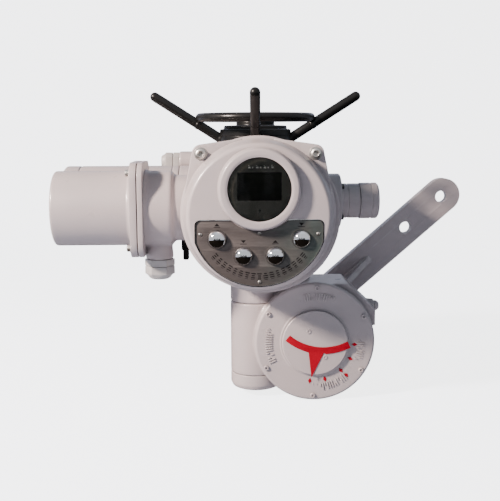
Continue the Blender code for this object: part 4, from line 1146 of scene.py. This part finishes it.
def gearbox_cover():
    front, back = GEAR_FRONT, 0.0413
    profile = [
        (0.0312, front),
        (0.052, front),
        (0.0535, front - 0.0010),
        (0.0885, front - 0.0010),
        (GEAR_RADIUS, front - 0.0040),
        (GEAR_RADIUS, back),
        (0.0312, back),
    ]
    cover = lathe("gearbox_cover_look", profile, at(GEAR_X, 0, 0), FRONT, SMOOTH_PAINT, 160, True, 0.0014)
    keep(cover, "housing", "grey_enamel", "gearbox_cover")
    for i in range(6):
        angle = math.radians(88 - 60 * i)
        spot = at(GEAR_X + 0.0835 * math.cos(angle), -front + 0.0011, 0.0835 * math.sin(angle))
        profile = [
            (0.0, 0.0012),
            (0.0018, 0.0012, True),
            (0.0018, 0.0030, True),
            (0.0032, 0.0030),
            (0.0038, 0.0020),
            (0.0038, 0.0),
            (0.0, 0.0),
        ]
        screw = lathe(f"gear_cover_screw_{i + 1}", profile, spot, FRONT, SMOOTH_PAINT, 48, soft=0.0003)
        keep(screw, "housing", "zinc_steel")


def raised_marks():
    """Cast strokes on the gearbox cover and a quarter-turn scale, painted with it."""
    rng = random.Random(11)
    strokes = []
    face = at(GEAR_X, -GEAR_FRONT + 0.0012, 0)
    inner, outer, height = 0.0650, 0.0760, 0.0018
    for middle_angle, count in ((85, 13), (184, 15), (-11, 9), (-66, 12)):
        for i in range(count):
            angle = math.radians(middle_angle + (i - (count - 1) / 2) * 3.0)
            turn = FRONT @ Matrix.Rotation(angle, 3, "Z")
            start, end = rng.choice(((inner, outer), (inner, outer), (inner, 0.0700), (0.0712, outer)))
            low, high = (start, -0.0008, 0), (end, 0.0008, height)
            strokes.append(block("stroke", low, high, face, turn, SMOOTH_PAINT, 0.0003))
    for i in range(19):
        angle = math.radians(-92 + 5 * i)
        turn = FRONT @ Matrix.Rotation(angle, 3, "Z")
        inner = 0.0640 if i % 3 == 0 else 0.0655
        low, high = (inner, -0.0003, 0), (0.0675, 0.0003, 0.0009)
        strokes.append(block("stroke", low, high, face, turn, SMOOTH_PAINT, 0.0001))
    keep(merge("gear_cover_relief", strokes), "housing", "grey_enamel")


def bow_angles(start, end, steps=24):
    """Angles about straight down, in degrees, as radians."""
    return [math.radians(-90 + start + (end - start) * i / steps) for i in range(steps + 1)]


def pointer():
    low, high = local_box("pointer_cap")
    centre, front, radius = at(GEAR_X, 0, 0), -low.y - 0.0022, (high.x - low.x) / 2
    disc = [
        (0.0, front),
        (radius - 0.0012, front),
        (radius, front - 0.0012),
        (radius, 0.0562),
        (0.0, 0.0562),
    ]
    cap = lathe("pointer_cap_look", disc, centre, FRONT, SMOOTH_PAINT, 144, soft=0.0005)
    keep(cap, "output", "grey_enamel", "pointer_cap")
    for number, (x, z) in enumerate(((-0.010, 0.018), (0.015, -0.022))):
        plug = [
            (0.0, 0.0003),
            (0.0016, 0.0003, True),
            (0.0016, 0.0010, True),
            (0.0033, 0.0010),
            (0.0036, 0.0),
            (0.0, 0.0),
        ]
        spot = centre + Vector((x, -front, z))
        plug = lathe(f"pointer_cap_screw_{number + 1}", plug, spot, FRONT, SMOOTH_PAINT, 40, soft=0.0002)
        keep(plug, "output", "zinc_steel")
    bow = Vector((0.0130, 0.0725))
    outer = [(bow.x + 0.0895 * math.cos(t), bow.y + 0.0895 * math.sin(t)) for t in bow_angles(-40.5, 27)]
    inner = [(bow.x + 0.0790 * math.cos(t), bow.y + 0.0790 * math.sin(t)) for t in bow_angles(27, -40.5)]
    root = [p for p in outer if not -0.0105 < p[0] < 0.0135]
    left = [p for p in root if p[0] < 0]
    right = [p for p in root if p[0] > 0]
    outline = [*left, (-0.0100, -0.0145), (-0.0055, -0.0535), (0.0130, -0.0150), *right, *inner]
    arrow = slab("pointer_arrow", [outline], 0.0010, centre + Vector((0, -front, 0)), FRONT, RED, 0.0002)
    keep(arrow, "output", "grey_enamel")
    diamonds = []
    scale = ((-97, 0.0610), (-75, 0.0600), (-48, 0.0600), (-47, 0.0710), (-26, 0.0600), (-4, 0.0605))
    for angle, reach in scale:
        spin = math.radians(angle)
        place = centre + FRONT @ Vector((reach * math.cos(spin), reach * math.sin(spin), GEAR_FRONT - 0.0010))
        shape = [(0.0045, 0.0), (0.0, 0.0027), (-0.0045, 0.0), (0.0, -0.0027)]
        facing = FRONT @ Matrix.Rotation(spin, 3, "Z")
        diamonds.append(slab("diamond", [shape], 0.0006, place, facing, RED, 0))
    keep(merge("scale_diamonds", diamonds, RED), "housing", "grey_enamel")


def stop_bolts():
    """Adjusting screws for the quarter turn: a capped one at the side, a hexagon on top."""
    side_low, side_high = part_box("side_stop_bolt")
    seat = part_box("gearbox_case")[1].x
    side = Vector((seat, (side_low.y + side_high.y) / 2, (side_low.z + side_high.z) / 2))
    head = side_high.x - seat
    dome = [
        (0.0, head + 0.0020),
        (0.0050, head + 0.0012),
        (0.0076, head - 0.0020),
        (0.0082, head * 0.45),
        (0.0082, 0.0003),
        (0.005, 0.0003),
        (0.005, -0.030),
        (0.0, -0.030),
    ]
    bolt = lathe("side_stop_bolt_look", dome, side, RIGHT, SMOOTH_PAINT, 72, soft=0.0010)
    keep(bolt, "housing", "zinc_steel", "side_stop_bolt")
    top_low, top_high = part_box("top_stop_bolt")
    top = Vector(((top_low.x + top_high.x) / 2, (top_low.y + top_high.y) / 2, DRIVE.z + 0.0965))
    head = top_high.z - top.z
    hexagon = [
        (0.0, head),
        (0.0066, head),
        (0.0078, head - 0.0012, True),
        (0.0078, 0.0003, True),
        (0.005, 0.0003),
        (0.005, -0.015),
        (0.0, -0.015),
    ]
    bolt = lathe("top_stop_bolt_look", hexagon, top, UP, ZINC, 72, soft=0.0004)
    keep(bolt, "housing", "zinc_steel", "top_stop_bolt")


# ---- output shaft and lever arm ----------------------------------------------------------
def output_shaft():
    low, _ = local_box("output_shaft")
    front = -low.y
    profile = [
        (0.0, front),
        (0.0275, front),
        (0.0275, 0.0145),
        (0.021, 0.0145),
        (0.021, -SHAFT_BACK + 0.0015),
        (0.0195, -SHAFT_BACK),
        (0.0040, -SHAFT_BACK),
        (0.0010, -SHAFT_BACK + 0.004),
        (0.0, -SHAFT_BACK + 0.004),
    ]
    shaft = lathe("output_shaft_look", profile, at(GEAR_X, 0, 0), FRONT, STEEL, 96, soft=0.0004)
    keep(shaft, "output", "turned_steel", "output_shaft")


def lever_arm():
    front, back = 0.128, SHAFT_BACK
    half, end, hub_radius, hub_front = 0.0285, 0.315, 0.036, 0.062
    spread = math.asin(half / hub_radius)
    outline = arc(half, -math.pi / 2, math.pi / 2, 48, (end, 0.0))
    outline += arc(hub_radius, spread, 2 * math.pi - spread, 64)
    holes = [circle(0.010, 64, (reach, 0.0)) for reach in (0.231, 0.311)]
    holes.append(circle(0.0213, 96))
    facing = Matrix((ARM_ALONG, -ARM_ACROSS, Vector((0.0, -1.0, 0.0)))).transposed()
    bar = slab("lever_arm_bar", [outline, *holes], back - front, at(GEAR_X, back, 0), facing, PAINT, 0.0012)
    hub = [
        (0.0213, -hub_front),
        (0.0335, -hub_front),
        (0.035, -hub_front - 0.0015),
        (0.035, -front - 0.002),
        (0.0213, -front - 0.002),
    ]
    collar = lathe("arm_collar", hub, at(GEAR_X, 0, 0), FRONT, PAINT, 96, True, 0.0010)
    side = [(0.022, -0.0005), (0.153, -0.0005), (0.030, front - hub_front - 0.005), (0.022, 0.060)]
    lie = Matrix((ARM_ALONG, Vector((0.0, -1.0, 0.0)), ARM_ACROSS)).transposed()
    rib_start = at(GEAR_X, front, 0) - ARM_ACROSS * 0.005
    rib = slab("arm_rib", [side], 0.010, rib_start, lie, PAINT, 0.0012)
    beads = []
    weld = [(0.0, 0.118), (0.0022, 0.115), (0.0026, 0.060), (0.0022, 0.001), (0.0, 0.0)]
    for side_of_rib in (-1, 1):
        line = at(GEAR_X, front, 0) + ARM_ALONG * 0.032 + ARM_ACROSS * 0.005 * side_of_rib
        along = Matrix((ARM_ACROSS, Vector((0.0, 1.0, 0.0)), ARM_ALONG)).transposed()
        beads.append(lathe("bead", weld, line, along, PAINT, 24, soft=0))
    ring = [
        (0.0345, -front + 0.0030),
        (0.0375, -front + 0.0002),
        (0.0375, -front - 0.001),
        (0.0345, -front - 0.001),
    ]
    beads.append(lathe("ring_bead", ring, at(GEAR_X, 0, 0), FRONT, PAINT, 96, True, 0.0008))
    keep(merge("lever_arm_look", [bar, collar, rib, *beads]), "output", "grey_enamel", "lever_arm")


# ---- CAD nodes that are shown as they are ------------------------------------------------
def dress_inner_parts():
    finishes = {
        "cover_gasket": RUBBER,
        "keypad_mat": RUBBER,
        "terminal_gasket": RUBBER,
        "control_board": BOARD,
        "terminal_block": PLASTIC,
        "motor_stator": COPPER,
        "primary_worm_wheel": BRONZE,
        "output_worm_wheel": BRONZE,
        "front_bush": BRONZE,
        "rear_bush": BRONZE,
    }
    for name, node in frame["nodes"].items():
        if node.hide_render:
            continue
        node.data.materials.clear()
        node.data.materials.append(finishes.get(name, STEEL))


# ---- floor, light and camera -------------------------------------------------------------
def studio():
    low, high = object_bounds()
    floor_z = low[2] - 0.0008
    rows = [(-6.0, 0.0), (1.2, 0.0)] + [(1.2 + 1.2 * math.sin(a), 1.2 - 1.2 * math.cos(a))
                                       for a in [math.pi / 2 * i / 24 for i in range(1, 25)]] + [(2.4, 6.0)]
    bm = bmesh.new()
    pairs = [(bm.verts.new((-7.0, y, floor_z + z)), bm.verts.new((7.0, y, floor_z + z))) for y, z in rows]
    for (a, b), (c, d) in zip(pairs, pairs[1:]):
        bm.faces.new((a, b, d, c))
    mesh = bpy.data.meshes.new("studio_floor")
    bm.to_mesh(mesh)
    bm.free()
    new_object("studio_floor", mesh, FLOOR, 60)
    feet = Vector((DRIVE.x, DRIVE.y, floor_z))
    cards = [((-1.8, -3.4, 0.004), (1.8, 0.9, 0.008))]
    cards += [((x, -3.2, 0.01), (x + wide, -3.15, tall)) for x, wide, tall in
              ((-1.7, 0.7, 0.9), (-0.8, 0.5, 0.6), (-0.15, 0.35, 1.1), (0.35, 0.5, 0.6), (1.0, 0.9, 0.9))]
    for number, (low, high) in enumerate(cards):
        card = block(f"dark_card_{number}", low, high, feet, UP, CARD, 0)
        card.visible_camera = False
        card.visible_diffuse = False
        card.visible_shadow = False


def area_light(name, place, target, size, power, colour):
    light = bpy.data.lights.new(name, "AREA")
    light.shape = "RECTANGLE"
    light.size, light.size_y = size
    light.energy = power
    light.color = colour
    obj = bpy.data.objects.new(name, light)
    obj.location = place
    obj.rotation_euler = (Vector(target) - Vector(place)).to_track_quat("-Z", "Y").to_euler()
    bpy.context.scene.collection.objects.link(obj)
    return obj


def lights():
    target = at(0.02, 0, 0.16)
    area_light("key", at(-2.0, -1.25, 1.45), target, (0.28, 0.28), 230, (1.0, 0.85, 0.76))
    area_light("top", at(0.2, -0.6, 2.2), target, (1.8, 1.4), 1.2, (0.75, 0.87, 1.0))
    area_light("rim", at(0.9, 1.9, 1.2), target, (1.2, 0.8), 1.5, (0.75, 0.87, 1.0))
    world = bpy.data.worlds.new("studio_world")
    world.use_nodes = True
    tree = world.node_tree
    rays = tree.nodes.new("ShaderNodeLightPath")
    mixed = tree.nodes["Background"]
    mixed.inputs["Color"].default_value = (0.56, 0.74, 1.0, 1.0)
    mixed.inputs["Strength"].default_value = 0.19
    seen = (("Is Glossy Ray", (0.92, 0.95, 1.0), 0.75), ("Is Camera Ray", (1.0, 1.0, 1.0), 3.8))
    for ray, colour, strength in seen:
        background, mixer = tree.nodes.new("ShaderNodeBackground"), tree.nodes.new("ShaderNodeMixShader")
        background.inputs["Color"].default_value = (*colour, 1.0)
        background.inputs["Strength"].default_value = strength
        tree.links.new(rays.outputs[ray], mixer.inputs["Fac"])
        tree.links.new(mixed.outputs[0], mixer.inputs[1])
        tree.links.new(background.outputs["Background"], mixer.inputs[2])
        mixed = mixer
    tree.links.new(mixed.outputs[0], tree.nodes["World Output"].inputs["Surface"])
    bpy.context.scene.world = world


def camera():
    """The viewpoint in front of the cover, a little to its left and above its middle."""
    look_down, lean, look_right = 0.1469, 0.0044, 0.0277
    data = bpy.data.cameras.new("camera")
    data.sensor_fit = "HORIZONTAL"
    data.sensor_width = 36.0
    data.lens = 59.56
    data.clip_start = 0.01
    obj = bpy.data.objects.new("camera", data)
    obj.location = at(-0.0433, -1.2732, 0.3220)
    obj.rotation_euler = Euler((math.pi / 2 - look_down, lean, -look_right))
    bpy.context.scene.collection.objects.link(obj)
    bpy.context.scene.camera = obj


# ---- the object --------------------------------------------------------------------------
main_housing()
control_cover()
display()
control_plate()
plate_marks()
push_buttons()
terminal_compartment()
glands()
motor()
spring_pack()
handwheel()
declutch_lever()
gearbox_case()
gearbox_cover()
raised_marks()
pointer()
stop_bolts()
output_shaft()
lever_arm()
dress_inner_parts()
studio()
lights()
camera()
